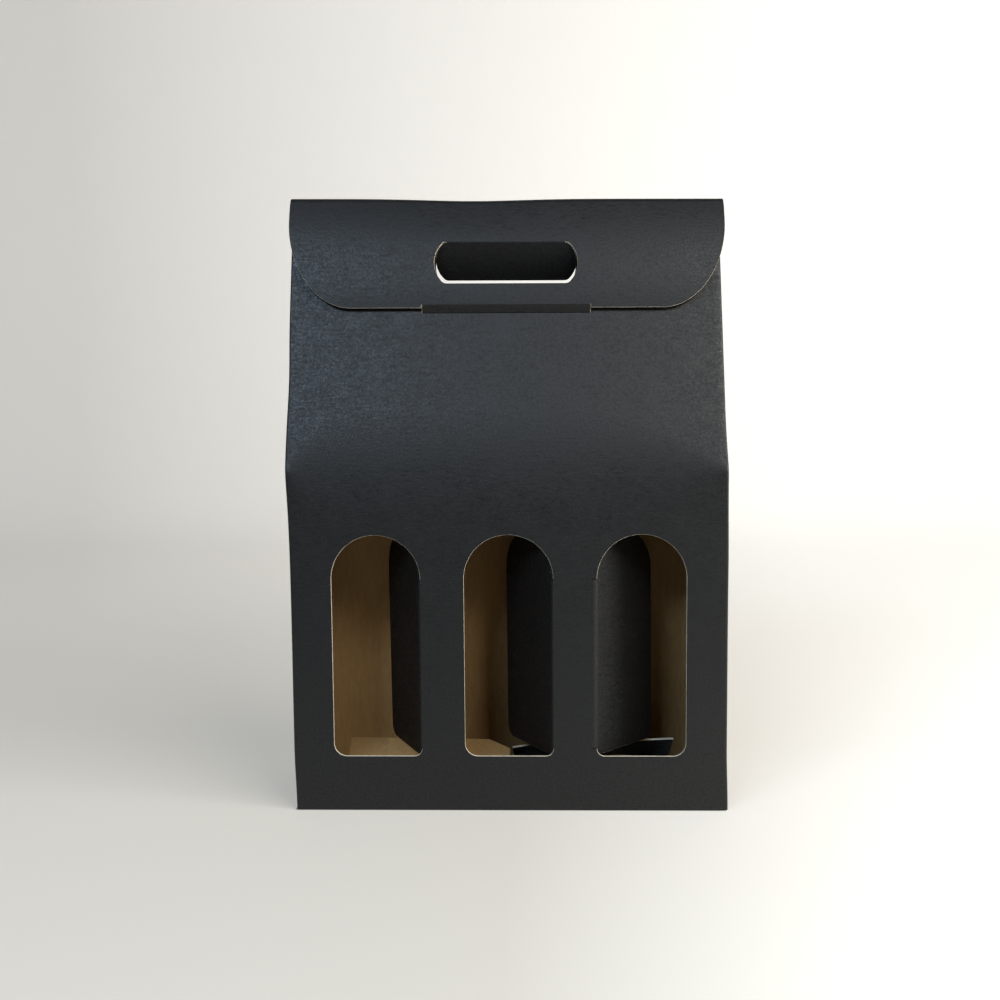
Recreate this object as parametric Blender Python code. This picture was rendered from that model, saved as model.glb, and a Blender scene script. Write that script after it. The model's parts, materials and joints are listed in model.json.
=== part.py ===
"""Three-bottle wine box: a black gable-top carrier, die-cut and folded from one sheet of board.

Metres, +Z up, front towards -Y. The origin is the centre of the footprint, on the surface below the box.
Each panel between two creases is its own object. An empty lies on every crease that moves, and the panel
hangs from it. Every panel is drawn in its crease's frame: x runs along the crease, z runs across the panel
away from the crease, and y is its thickness. A crease's bend is how far its panel leans from upright towards
the inside.
"""

import math

import bmesh
import bpy
from mathutils import Vector

# Carton
WIDTH = 0.270
DEPTH = 0.090
HEIGHT = 0.382
SHOULDER_HEIGHT = 0.213
BOARD = 0.0012

# Clearances
LAP_GAP = 0.0003
CREASE_GAP = 0.0004
CUT_GAP = 0.0004

# Windows, cut on three sides so that the piece inside folds in and parts the bottles
WINDOW_WIDTH = 0.055
WINDOW_PITCH = 0.082
WINDOW_BOTTOM = 0.035
WINDOW_SPRING = 0.1465
WINDOW_CORNER = 0.008
WINDOW_STEPS = 32
DIVIDER_ANGLES = (math.radians(65), math.radians(59), math.radians(50))

# Ridge fold, an arch between the back panel and the closure flap
RIDGE_BACK = 0.0040
RIDGE_FRONT = 0.0052
RIDGE_RISE = 0.0044
ARCH_STEPS = 10

# Front gable panel, which stops below the ridge and draws in a little towards its top
FRONT_INSET = 0.0010
FRONT_TOP_DROP = 0.0180
FRONT_DRAW_IN = 0.0014

# Closure flap, which comes over the ridge from the back
FLAP_OVERHANG = 0.0005
FLAP_LENGTH = 0.0670
FLAP_SPREAD = math.radians(0.43)
FLAP_CORNER = 0.037

# Hand hole, through the flap and both gable panels
HOLE_WIDTH = 0.089
HOLE_HEIGHT = 0.0278
HOLE_END_RADIUS = 0.018
HOLE_TOP = 0.0233
HOLE_CLEARANCE = 0.0015
HANDLE_ANGLE = math.radians(45)

# Tuck tab and its slot
TAB_WIDTH = 0.1045
TAB_DROP = 0.0030
TAB_REACH = 0.0120
TAB_KNEE = 0.0010
SLOT_BELOW = 0.0030
SLOT_ABOVE = 0.0012
SLOT_SIDE = 0.0006

# Side gussets, folded in between the gable panels
GUSSET_BASE = 0.0120
GUSSET_WEDGE = math.radians(0.7)

# Glued corner seam
SEAM_WIDTH = 0.016
SEAM_END_GAP = 0.004

# Self-locking base, sprung up as it stands empty
BASE_RISE = math.radians(30)
BASE_LONG = 0.058
BASE_SHORT = 0.0450
BASE_FREE_END = 0.028
BASE_NOTCH = 0.024
BASE_STEP = 0.0008
BASE_CORNER_X = 0.0146
BASE_CORNER_DROP = 0.0080
BASE_SIDE_LENGTH = 0.0262
GLUE_TAB_LENGTH = 0.038
GLUE_TAB_INSET = 0.0020

BLACK = (0.035, 0.037, 0.042, 1.0)
KRAFT = (0.36, 0.24, 0.13, 1.0)

# Worked out from the above
WALL_X = WIDTH / 2 - BOARD / 2
WALL_Y = DEPTH / 2 - BOARD / 2
RIDGE_HEIGHT = HEIGHT - RIDGE_RISE
LAP = BOARD + LAP_GAP
FRONT_LEAN = math.atan2(WALL_Y - FRONT_INSET, RIDGE_HEIGHT - SHOULDER_HEIGHT)
FRONT_LENGTH = (RIDGE_HEIGHT - SHOULDER_HEIGHT) / math.cos(FRONT_LEAN) - FRONT_TOP_DROP
FLAP_WIDTH = WIDTH + 2 * FLAP_OVERHANG
FLAP_LEAN = FRONT_LEAN + FLAP_SPREAD
BACK_SPAN = math.hypot(WALL_Y - RIDGE_BACK, RIDGE_HEIGHT - SHOULDER_HEIGHT)
BACK_LENGTH = math.sqrt(BACK_SPAN**2 - (BOARD / 2) ** 2)
BACK_LEAN = math.atan2(WALL_Y - RIDGE_BACK, RIDGE_HEIGHT - SHOULDER_HEIGHT)
BACK_LEAN += math.atan2(BOARD / 2, BACK_LENGTH)
GUSSET_HALF = WALL_Y - LAP
GUSSET_SLOPE = math.atan2(GUSSET_HALF, math.hypot(WALL_Y, RIDGE_HEIGHT - SHOULDER_HEIGHT))
GUSSET_LEAN = GUSSET_SLOPE

FRONT, RIGHT, BACK, LEFT = 0.0, math.pi / 2, math.pi, -math.pi / 2


def clear_scene():
    for item in list(bpy.data.objects):
        bpy.data.objects.remove(item, do_unlink=True)


def board_material(name, colour, roughness):
    material = bpy.data.materials.new(name)
    material.use_nodes = True
    shader = material.node_tree.nodes["Principled BSDF"]
    shader.inputs["Base Color"].default_value = colour
    shader.inputs["Roughness"].default_value = roughness
    shader.inputs["Metallic"].default_value = 0.0
    return material


def crease(name, place, bend=0.0, facing=FRONT, parent=None):
    """An empty on a crease: bend leans its panel inwards, and facing turns it to one side of the box."""
    empty = bpy.data.objects.new(name, None)
    empty.empty_display_size = 0.02
    empty.location = place
    empty.rotation_euler = (-bend, 0.0, facing)
    empty.parent = parent
    bpy.context.scene.collection.objects.link(empty)
    return empty


def add_object(name, mesh, parent, material):
    data = bpy.data.meshes.new(name)
    mesh.to_mesh(data)
    mesh.free()
    data.materials.append(material)
    item = bpy.data.objects.new(name, data)
    item.parent = parent
    bpy.context.scene.collection.objects.link(item)
    return item


def sheet(outline, near, far, holes=()):
    """A flat panel: its outline and holes lie in x and z, and it is as thick as near to far in y."""
    mesh = bmesh.new()
    for loop in (outline, *holes):
        corners = [mesh.verts.new((x, near, z)) for x, z in loop]
        for start, end in zip(corners, corners[1:] + corners[:1]):
            mesh.edges.new((start, end))
    bmesh.ops.triangle_fill(mesh, use_beauty=True, use_dissolve=False, edges=mesh.edges[:])
    extrude(mesh, Vector((0.0, far - near, 0.0)))
    return mesh


def bent_strip(profile, half_width):
    """A strip bent along the crease: its profile lies in y and z, and it is drawn out along x."""
    mesh = bmesh.new()
    corners = [mesh.verts.new((-half_width, y, z)) for y, z in profile]
    mesh.faces.new(corners)
    extrude(mesh, Vector((2 * half_width, 0.0, 0.0)))
    return mesh


def extrude(mesh, step):
    result = bmesh.ops.extrude_face_region(mesh, geom=mesh.faces[:], use_keep_orig=True)
    moved = [item for item in result["geom"] if isinstance(item, bmesh.types.BMVert)]
    bmesh.ops.translate(mesh, vec=step, verts=moved)
    bmesh.ops.recalc_face_normals(mesh, faces=mesh.faces[:])


def arc(centre, radius, start, end, steps):
    """Points of an arc in x and z, its angles measured from x towards z."""
    points = []
    for step in range(steps + 1):
        angle = start + (end - start) * step / steps
        points.append((centre[0] + radius * math.cos(angle), centre[1] + radius * math.sin(angle)))
    return points


def arched_outline(centre, shrink=0.0):
    """A window with a round top and small bottom corners, drawn in by shrink."""
    half = WINDOW_WIDTH / 2 - shrink
    corner = WINDOW_CORNER - shrink
    floor = WINDOW_BOTTOM + shrink
    points = arc((centre + half - corner, floor + corner), corner, -math.pi / 2, 0.0, 4)
    points += arc((centre, WINDOW_SPRING), half, 0.0, math.pi, WINDOW_STEPS)
    points += arc((centre - half + corner, floor + corner), corner, math.pi, 1.5 * math.pi, 4)
    return points


def hand_hole_outline(middle, grow=0.0):
    """The hand hole: straight above and below, with bowed ends."""
    half_height = HOLE_HEIGHT / 2 + grow
    radius = HOLE_END_RADIUS + grow
    sweep = math.asin(half_height / radius)
    offset = HOLE_WIDTH / 2 + grow - radius
    right = arc((offset, middle), radius, -sweep, sweep, 10)
    left = arc((-offset, middle), radius, math.pi - sweep, math.pi + sweep, 10)
    return right + left


def into_frame(point, origin, bend):
    """A point of the side view (towards the inside, up), as seen in a frame at origin with this bend."""
    inwards, up = point[0] - origin[0], point[1] - origin[1]
    across = inwards * math.cos(bend) - up * math.sin(bend)
    along = inwards * math.sin(bend) + up * math.cos(bend)
    return across, along


def thicken(line, thickness):
    """The closed profile of a board whose middle follows this line, mitred where it bends."""
    left, right = [], []
    for index, point in enumerate(line):
        before = line[max(index - 1, 0)]
        after = line[min(index + 1, len(line) - 1)]
        turns = []
        for start, end in ((before, point), (point, after)):
            length = math.hypot(end[0] - start[0], end[1] - start[1])
            if length > 0.0:
                turns.append((-(end[1] - start[1]) / length, (end[0] - start[0]) / length))
        normal = (sum(turn[0] for turn in turns), sum(turn[1] for turn in turns))
        size = math.hypot(*normal)
        mitre = thickness * len(turns) / (size * size) / 2
        left.append((point[0] + normal[0] * mitre, point[1] + normal[1] * mitre))
        right.append((point[0] - normal[0] * mitre, point[1] - normal[1] * mitre))
    return left + right[::-1]


def add_walls(black, kraft):
    """The four upright walls and the flap that glues the sheet into a sleeve."""
    top = SHOULDER_HEIGHT - CREASE_GAP
    half = BOARD / 2
    wide = [(-WIDTH / 2, 0.0), (WIDTH / 2, 0.0), (WIDTH / 2, top), (-WIDTH / 2, top)]
    reach = DEPTH / 2 - LAP
    narrow = [(-reach, 0.0), (reach, 0.0), (reach, top), (-reach, top)]
    front = crease("front_wall_foot", (0.0, -WALL_Y, 0.0))
    back = crease("back_wall_foot", (0.0, WALL_Y, 0.0), facing=BACK)
    right = crease("right_wall_foot", (WALL_X, 0.0, 0.0), facing=RIGHT)
    left = crease("left_wall_foot", (-WALL_X, 0.0, 0.0), facing=LEFT)
    windows = [arched_outline(step * WINDOW_PITCH) for step in (-1, 0, 1)]
    add_object("front_lower_panel", sheet(wide, -half, half, windows), front, black)
    add_object("back_lower_panel", sheet(wide, -half, half), back, black)
    add_object("right_side_panel", sheet(narrow, -half, half), right, black)
    add_object("left_side_panel", sheet(narrow, -half, half), left, black)
    outer = -(WIDTH / 2 - LAP)
    inner = outer + SEAM_WIDTH
    low, high = SEAM_END_GAP, top - SEAM_END_GAP
    seam = [(outer, low), (inner, low + SEAM_WIDTH / 2), (inner, high - SEAM_WIDTH / 2), (outer, high)]
    add_object("glue_seam_flap", sheet(seam, half + LAP_GAP, half + LAP), back, kraft)


def add_dividers(black):
    """The window cut-outs, folded in. The first two are hinged on their right, the third on its left."""
    for name, step, side, angle in zip(
        ("divider_left", "divider_middle", "divider_right"), (-1, 0, 1), (1, 1, -1), DIVIDER_ANGLES
    ):
        centre = step * WINDOW_PITCH
        edge = centre + side * WINDOW_WIDTH / 2
        hinge = crease(name + "_crease", (edge, -WALL_Y + BOARD / 2, 0.0))
        hinge.rotation_euler[2] = -side * angle
        outline = [(x - edge, z) for x, z in arched_outline(centre, CUT_GAP)]
        add_object(name, sheet(outline, -BOARD, 0.0), hinge, black)


def add_front_gable(black):
    """The sloping front panel, with its hand hole and the slot for the tuck tab."""
    hinge = crease("front_shoulder_crease", (0.0, -WALL_Y, SHOULDER_HEIGHT), FRONT_LEAN)
    half, top_half = WIDTH / 2, WIDTH / 2 - FRONT_DRAW_IN
    outline = [(-half, CREASE_GAP), (half, CREASE_GAP), (top_half, FRONT_LENGTH), (-top_half, FRONT_LENGTH)]
    slot_half = TAB_WIDTH / 2 + SLOT_SIDE
    middle = slot_place()
    low, high = middle - BOARD / 2 - SLOT_BELOW, middle + BOARD / 2 + SLOT_ABOVE
    slot = [(-slot_half, low), (slot_half, low), (slot_half, high), (-slot_half, high)]
    hole = hand_hole_outline(hole_on_panel(FRONT_LEAN), HOLE_CLEARANCE)
    add_object("front_gable_panel", sheet(outline, -BOARD / 2, BOARD / 2, [hole, slot]), hinge, black)
    return hinge


def add_back_gable(black):
    """The sloping back panel, which carries the ridge fold."""
    hinge = crease("back_shoulder_crease", (0.0, WALL_Y, SHOULDER_HEIGHT), BACK_LEAN, BACK)
    half, top = WIDTH / 2, BACK_LENGTH - CREASE_GAP
    outline = [(-half, CREASE_GAP), (half, CREASE_GAP), (half, top), (-half, top)]
    hole = hand_hole_outline(hole_on_panel(BACK_LEAN), HOLE_CLEARANCE)
    add_object("back_gable_panel", sheet(outline, -BOARD / 2, BOARD / 2, [hole]), hinge, black)
    return hinge


def hole_height():
    """How high the middle of the hand hole lies."""
    return RIDGE_HEIGHT - (HOLE_TOP + HOLE_HEIGHT / 2) * math.cos(FLAP_LEAN)


def hole_on_panel(lean):
    return (hole_height() - SHOULDER_HEIGHT) / math.cos(lean)


def flap_foot():
    """The crease at the flap's foot, on its inner face, in the side view (towards the front, up)."""
    return (
        RIDGE_FRONT + FLAP_LENGTH * math.sin(FLAP_LEAN) - BOARD * math.cos(FLAP_LEAN),
        RIDGE_HEIGHT - FLAP_LENGTH * math.cos(FLAP_LEAN) - BOARD * math.sin(FLAP_LEAN),
    )


def slot_place():
    """How far up the front gable panel the tab passes through it."""
    return (flap_foot()[1] - TAB_DROP - SHOULDER_HEIGHT) / math.cos(FRONT_LEAN)


def add_ridge(back_hinge, black):
    """The arch over the ridge, from the back panel's outer face to the closure flap's."""
    hinge = crease("ridge_crease", (0.0, -BOARD / 2, BACK_LENGTH), -BACK_LEAN, parent=back_hinge)
    span = (RIDGE_BACK + RIDGE_FRONT) / 2
    outer, inner = [], []
    start = CREASE_GAP / span
    for step in range(ARCH_STEPS + 1):
        turn = start + (math.pi - 2 * start) * step / ARCH_STEPS
        outer.append((span - span * math.cos(turn), RIDGE_RISE * math.sin(turn)))
        inner.append((span - (span - BOARD) * math.cos(turn), (RIDGE_RISE - BOARD) * math.sin(turn)))
    add_object("ridge_fold", bent_strip(outer + inner[::-1], WIDTH / 2), hinge, black)
    return hinge


def add_closure(ridge_hinge, black):
    """The closure flap, with round corners and a hand hole."""
    place = (0.0, RIDGE_BACK + RIDGE_FRONT, 0.0)
    hinge = crease("closure_crease", place, math.pi - FLAP_LEAN, parent=ridge_hinge)
    half = FLAP_WIDTH / 2
    turn = FLAP_LENGTH - FLAP_CORNER
    outline = [(-half, CREASE_GAP), (half, CREASE_GAP)]
    outline += arc((half - FLAP_CORNER, turn), FLAP_CORNER, 0.0, math.pi / 2, 12)
    outline += arc((FLAP_CORNER - half, turn), FLAP_CORNER, math.pi / 2, math.pi, 12)
    hole = hand_hole_outline(HOLE_TOP + HOLE_HEIGHT / 2)
    add_object("closure_flap", sheet(outline, 0.0, BOARD, [hole]), hinge, black)
    return hinge


def add_handle_flap(closure_hinge, black):
    """The hand hole's own cut-out, hinged on the hole's top edge and pushed in."""
    hinge = crease("handle_flap_crease", (0.0, BOARD, HOLE_TOP), HANDLE_ANGLE, parent=closure_hinge)
    outline = [(x, z) for x, z in hand_hole_outline(HOLE_HEIGHT / 2, -CUT_GAP)]
    add_object("handle_flap", sheet(outline, -BOARD, 0.0), hinge, black)


def add_tuck_tab(closure_hinge, black):
    """The tab at the flap's foot: it turns in, and goes square through the front panel's slot."""
    hinge = crease("tuck_tab_crease", (0.0, BOARD, FLAP_LENGTH), parent=closure_hinge)
    foot = flap_foot()
    height = SHOULDER_HEIGHT + slot_place() * math.cos(FRONT_LEAN)
    face = FRONT_INSET + (RIDGE_HEIGHT - height) * math.tan(FRONT_LEAN)
    square = (-math.cos(FRONT_LEAN), -math.sin(FRONT_LEAN))
    knee = [part - square[axis] * (BOARD / 2 + TAB_KNEE) for axis, part in enumerate((face, height))]
    tip = [part + square[axis] * TAB_REACH for axis, part in enumerate((face, height))]
    bend = math.pi - FLAP_LEAN
    knee, tip = into_frame(knee, foot, bend), into_frame(tip, foot, bend)
    line = [start_beside_crease(knee), knee, tip]
    add_object("tuck_tab", bent_strip(thicken(line, BOARD), TAB_WIDTH / 2), hinge, black)


def start_beside_crease(knee):
    """Start of a board whose inner face runs through the crease at (0, 0) and whose middle meets the knee."""
    half = BOARD / 2
    aim = math.atan2(knee[0], knee[1]) + math.asin(half / math.hypot(*knee))
    return (
        CREASE_GAP * math.sin(aim) - half * math.cos(aim),
        CREASE_GAP * math.cos(aim) + half * math.sin(aim),
    )


def add_gussets(front_hinge, back_hinge, black):
    """Each side's gusset: a centre piece above the side wall and two halves against the gable panels."""
    top = FRONT_LENGTH - CREASE_GAP
    edge = math.tan(GUSSET_SLOPE)
    trimmed = math.tan(GUSSET_SLOPE - GUSSET_WEDGE)
    draw_in = FRONT_DRAW_IN / FRONT_LENGTH
    for side, sign, facing in (("left", -1, LEFT), ("right", 1, RIGHT)):
        hinge = crease(side + "_gusset_crease", (sign * WALL_X, 0.0, SHOULDER_HEIGHT), GUSSET_LEAN, facing)
        low = GUSSET_HALF - CREASE_GAP * 2
        high = GUSSET_HALF - (edge + GUSSET_WEDGE) * top
        outline = [(-low, CREASE_GAP), (low, CREASE_GAP), (high, top), (-high, top)]
        add_object(side + "_gusset_centre", sheet(outline, -BOARD / 2, BOARD / 2), hinge, black)
        for end, panel, turned in (("front", front_hinge, 1), ("back", back_hinge, -1)):
            place = (sign * turned * WALL_X, BOARD / 2 + LAP_GAP / 2, 0.0)
            fold = crease(f"{side}_gusset_{end}_crease", place, parent=panel)
            inwards = -sign * turned
            taper = draw_in if end == "front" else 0.0
            outline = [
                (inwards * (CREASE_GAP + taper * GUSSET_BASE), GUSSET_BASE),
                (inwards * trimmed * GUSSET_BASE, GUSSET_BASE),
                (inwards * trimmed * top, top),
                (inwards * (CREASE_GAP + taper * top), top),
            ]
            piece = sheet(outline, LAP_GAP / 2, LAP_GAP / 2 + BOARD)
            add_object(f"{side}_gusset_{end}_half", piece, fold, black)


def base_panel_mesh():
    """One long base flap: its long half rides on top of the other flap, its short half passes below it."""
    start = BOARD / 2 + LAP_GAP
    lean = math.tan(BASE_RISE)
    upper_near, upper_far = -BOARD / 2 - LAP, -BOARD / 2 - LAP_GAP
    long_start = start / math.cos(BASE_RISE) - upper_near * lean
    short_start = start / math.cos(BASE_RISE) + BOARD / 2 * lean
    free = -WALL_X + BASE_FREE_END
    long_half = [
        (free, long_start),
        (BASE_STEP, long_start),
        (BASE_STEP, BASE_NOTCH),
        (-BASE_STEP, BASE_NOTCH),
        (-BASE_STEP, BASE_LONG - BASE_CORNER_DROP),
        (-BASE_CORNER_X, BASE_LONG),
        (free, BASE_LONG),
    ]
    crease_x = WALL_X - CREASE_GAP * 2
    short_half = [
        (-BASE_STEP, short_start),
        (crease_x - short_start, short_start),
        (crease_x - BASE_SHORT, BASE_SHORT),
        (BASE_STEP, BASE_SHORT),
        (BASE_STEP, BASE_NOTCH),
        (-BASE_STEP, BASE_NOTCH),
    ]
    rib = [
        (-BASE_STEP, long_start),
        (BASE_STEP, long_start),
        (BASE_STEP, BASE_NOTCH),
        (-BASE_STEP, BASE_NOTCH),
    ]
    layers = (
        sheet(long_half, upper_near, upper_far),
        sheet(rib, (upper_near + upper_far) / 2, 0.0),
        sheet(short_half, -BOARD / 2, BOARD / 2),
    )
    return union(layers)


def union(layers):
    """Joins overlapping solids into one closed body."""
    pieces = []
    for layer in layers:
        data = bpy.data.meshes.new("layer")
        layer.to_mesh(data)
        layer.free()
        item = bpy.data.objects.new("layer", data)
        bpy.context.scene.collection.objects.link(item)
        pieces.append(item)
    for other in pieces[1:]:
        join = pieces[0].modifiers.new("join", "BOOLEAN")
        join.operation = "UNION"
        join.solver = "EXACT"
        join.object = other
    depsgraph = bpy.context.evaluated_depsgraph_get()
    result = bmesh.new()
    result.from_object(pieces[0], depsgraph)
    for item in pieces:
        bpy.data.objects.remove(item, do_unlink=True)
    return result


def add_base(kraft):
    """The self-locking base: two long flaps that lie over each other, two side flaps and their glue tabs."""
    bend = math.pi / 2 - BASE_RISE
    for end, turn, facing in (("front", -1, FRONT), ("back", 1, BACK)):
        hinge = crease(f"base_{end}_crease", (0.0, turn * WALL_Y, BOARD / 2), bend, facing)
        add_object(f"base_{end}_flap", base_panel_mesh(), hinge, kraft)
    start = BOARD / 2 + LAP_GAP
    lean = math.tan(BASE_RISE)
    upper_near, upper_far = -BOARD / 2 - LAP, -BOARD / 2 - LAP_GAP
    for side, sign, facing in (("right", 1, RIGHT), ("left", -1, LEFT)):
        hinge = crease(f"base_{side}_crease", (sign * WALL_X, 0.0, BOARD / 2), bend, facing)
        near = start / math.cos(BASE_RISE) - upper_near * lean
        reach = DEPTH / 2 - 2 * LAP - LAP_GAP
        cut = BASE_SIDE_LENGTH - near
        side_flap = [(-reach, near), (reach, near)]
        side_flap += [(reach - cut, BASE_SIDE_LENGTH), (cut - reach, BASE_SIDE_LENGTH)]
        add_object(f"base_{side}_flap", sheet(side_flap, upper_near, upper_far), hinge, kraft)
        near = start / math.cos(BASE_RISE) + BOARD / 2 * lean
        corner = -WALL_Y + CREASE_GAP * 2
        far = BASE_SIDE_LENGTH - GLUE_TAB_INSET
        end = corner + GLUE_TAB_LENGTH
        glue_tab = [(corner + near, near), (end, near), (end, far), (corner + far, far)]
        add_object(f"base_{side}_glue_tab", sheet(glue_tab, -BOARD / 2, BOARD / 2), hinge, kraft)


def main():
    clear_scene()
    black = board_material("black_board", BLACK, 0.6)
    kraft = board_material("kraft_board", KRAFT, 0.85)
    add_walls(black, kraft)
    add_dividers(black)
    front_hinge = add_front_gable(black)
    back_hinge = add_back_gable(black)
    ridge_hinge = add_ridge(back_hinge, black)
    closure_hinge = add_closure(ridge_hinge, black)
    add_handle_flap(closure_hinge, black)
    add_tuck_tab(closure_hinge, black)
    add_gussets(front_hinge, back_hinge, black)
    add_base(kraft)


main()
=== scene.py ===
"""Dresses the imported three-bottle wine box: folded board with a mottled black face and a kraft inside.

Every piece is drawn flat, as it lies on the uncut sheet, and is then folded: its outline and holes are filled
with triangles in flat coordinates (across, along), and a function for each wall puts every point on the outer
face of the folded board. A Geometry Nodes tree gives the sheet its thickness, its crushed cut edges and its
three finishes.
"""

import json
import math

import bpy
import numpy as np
from mathutils import Matrix, Vector
from mathutils.geometry import delaunay_2d_cdt


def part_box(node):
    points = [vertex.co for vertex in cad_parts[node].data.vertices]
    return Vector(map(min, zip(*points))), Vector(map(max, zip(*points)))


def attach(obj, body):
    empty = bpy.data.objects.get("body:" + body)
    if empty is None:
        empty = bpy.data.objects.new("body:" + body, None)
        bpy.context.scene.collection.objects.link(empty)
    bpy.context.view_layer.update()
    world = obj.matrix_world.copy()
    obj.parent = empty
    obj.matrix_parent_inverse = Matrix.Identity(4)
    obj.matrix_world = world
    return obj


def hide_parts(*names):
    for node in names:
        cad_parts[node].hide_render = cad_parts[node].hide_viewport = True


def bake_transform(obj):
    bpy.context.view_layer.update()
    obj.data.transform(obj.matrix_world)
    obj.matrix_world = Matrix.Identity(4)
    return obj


bl_info = {
    "name": "Three-bottle wine box",
    "version": (1, 0, 0),
    "blender": (4, 5, 0),
    "location": "3D View > Sidebar > Wine Box",
    "description": "Folds and dresses a carton for three bottles, black outside and kraft inside",
    "category": "Object",
}

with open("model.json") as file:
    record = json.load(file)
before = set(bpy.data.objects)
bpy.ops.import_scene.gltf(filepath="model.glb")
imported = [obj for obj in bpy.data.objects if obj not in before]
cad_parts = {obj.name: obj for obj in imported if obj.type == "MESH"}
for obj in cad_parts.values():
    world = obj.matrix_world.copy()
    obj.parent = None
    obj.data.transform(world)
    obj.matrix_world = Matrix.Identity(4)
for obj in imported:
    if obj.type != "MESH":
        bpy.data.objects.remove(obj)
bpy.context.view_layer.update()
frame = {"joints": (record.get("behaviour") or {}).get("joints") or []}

FRONT, RIGHT, BACK, LEFT = 0.0, math.pi / 2, math.pi, -math.pi / 2


def crease_place(joint):
    """Where a fold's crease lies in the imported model."""
    return next(entry["pos_m"] for entry in frame["joints"] if entry["name"] == joint)


def measure():
    """The carton's own sizes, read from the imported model."""
    low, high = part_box("front_lower_panel")
    flap_low, flap_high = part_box("closure_flap")
    tab_low, tab_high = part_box("tuck_tab")
    _, ridge_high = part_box("ridge_fold")
    return {
        "width": high.x - low.x,
        "depth": -2 * low.y,
        "board": high.y - low.y,
        "shoulder": crease_place("front_gable_fold")[2],
        "ridge": ridge_high.z,
        "crease_front": crease_place("closure_fold"),
        "crease_back": crease_place("ridge_fold_back"),
        "flap_width": flap_high.x - flap_low.x,
        "tab_width": tab_high.x - tab_low.x,
    }


SIZE = measure()

SLACK = 1e-6  # allowed where a point is compared with an edge
WRAP = 0.004  # flat length that is drawn round each upright corner
HINGE_SIDES = (1, 1, -1)  # which side of its window each divider is folded along
DIVIDER_NAMES = ("divider_left", "divider_middle", "divider_right")
BACK_RUN = 0.1590  # height of the back gable panel
WINDOW_TOP = 0.174  # top of the windows' arches
GUSSET_GAP = 0.0004  # how far below the gable panels' top the gussets end


# Properties


class WineBoxBoard(bpy.types.PropertyGroup):
    """The board and its folds."""

    thickness: bpy.props.FloatProperty(
        name="Board", description="Thickness of the board", default=SIZE["board"], unit="LENGTH", precision=4
    )
    bevel: bpy.props.FloatProperty(
        name="Crushed edge",
        description="How far the die rounds the outer side of a cut edge",
        default=0.00014,
        unit="LENGTH",
        precision=5,
    )
    corner: bpy.props.FloatProperty(
        name="Corner fold",
        description="Outer radius of the upright corners",
        default=0.0016,
        unit="LENGTH",
        precision=4,
    )
    edge_fold: bpy.props.FloatProperty(
        name="Gable edge fold",
        description="Outer radius of the folds at the sides of the gable panels",
        default=0.00135,
        unit="LENGTH",
        precision=5,
    )
    foot: bpy.props.FloatProperty(
        name="Foot fold",
        description="Outer radius of the folds the carton stands on",
        default=0.0013,
        unit="LENGTH",
        precision=4,
    )
    waist: bpy.props.FloatProperty(
        name="Waist",
        description="How far each side wall draws in halfway up",
        default=0.0002,
        unit="LENGTH",
        precision=4,
    )
    black: bpy.props.FloatVectorProperty(
        name="Black face",
        description="Colour of the outer face",
        subtype="COLOR",
        default=(0.0046, 0.0046, 0.0048),
    )
    kraft: bpy.props.FloatVectorProperty(
        name="Kraft face",
        description="Colour of the inner face",
        subtype="COLOR",
        default=(0.34, 0.212, 0.086),
    )
    cut: bpy.props.FloatVectorProperty(
        name="Cut edge",
        description="Colour of the core at a cut edge",
        subtype="COLOR",
        default=(0.66, 0.59, 0.47),
    )


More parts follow.
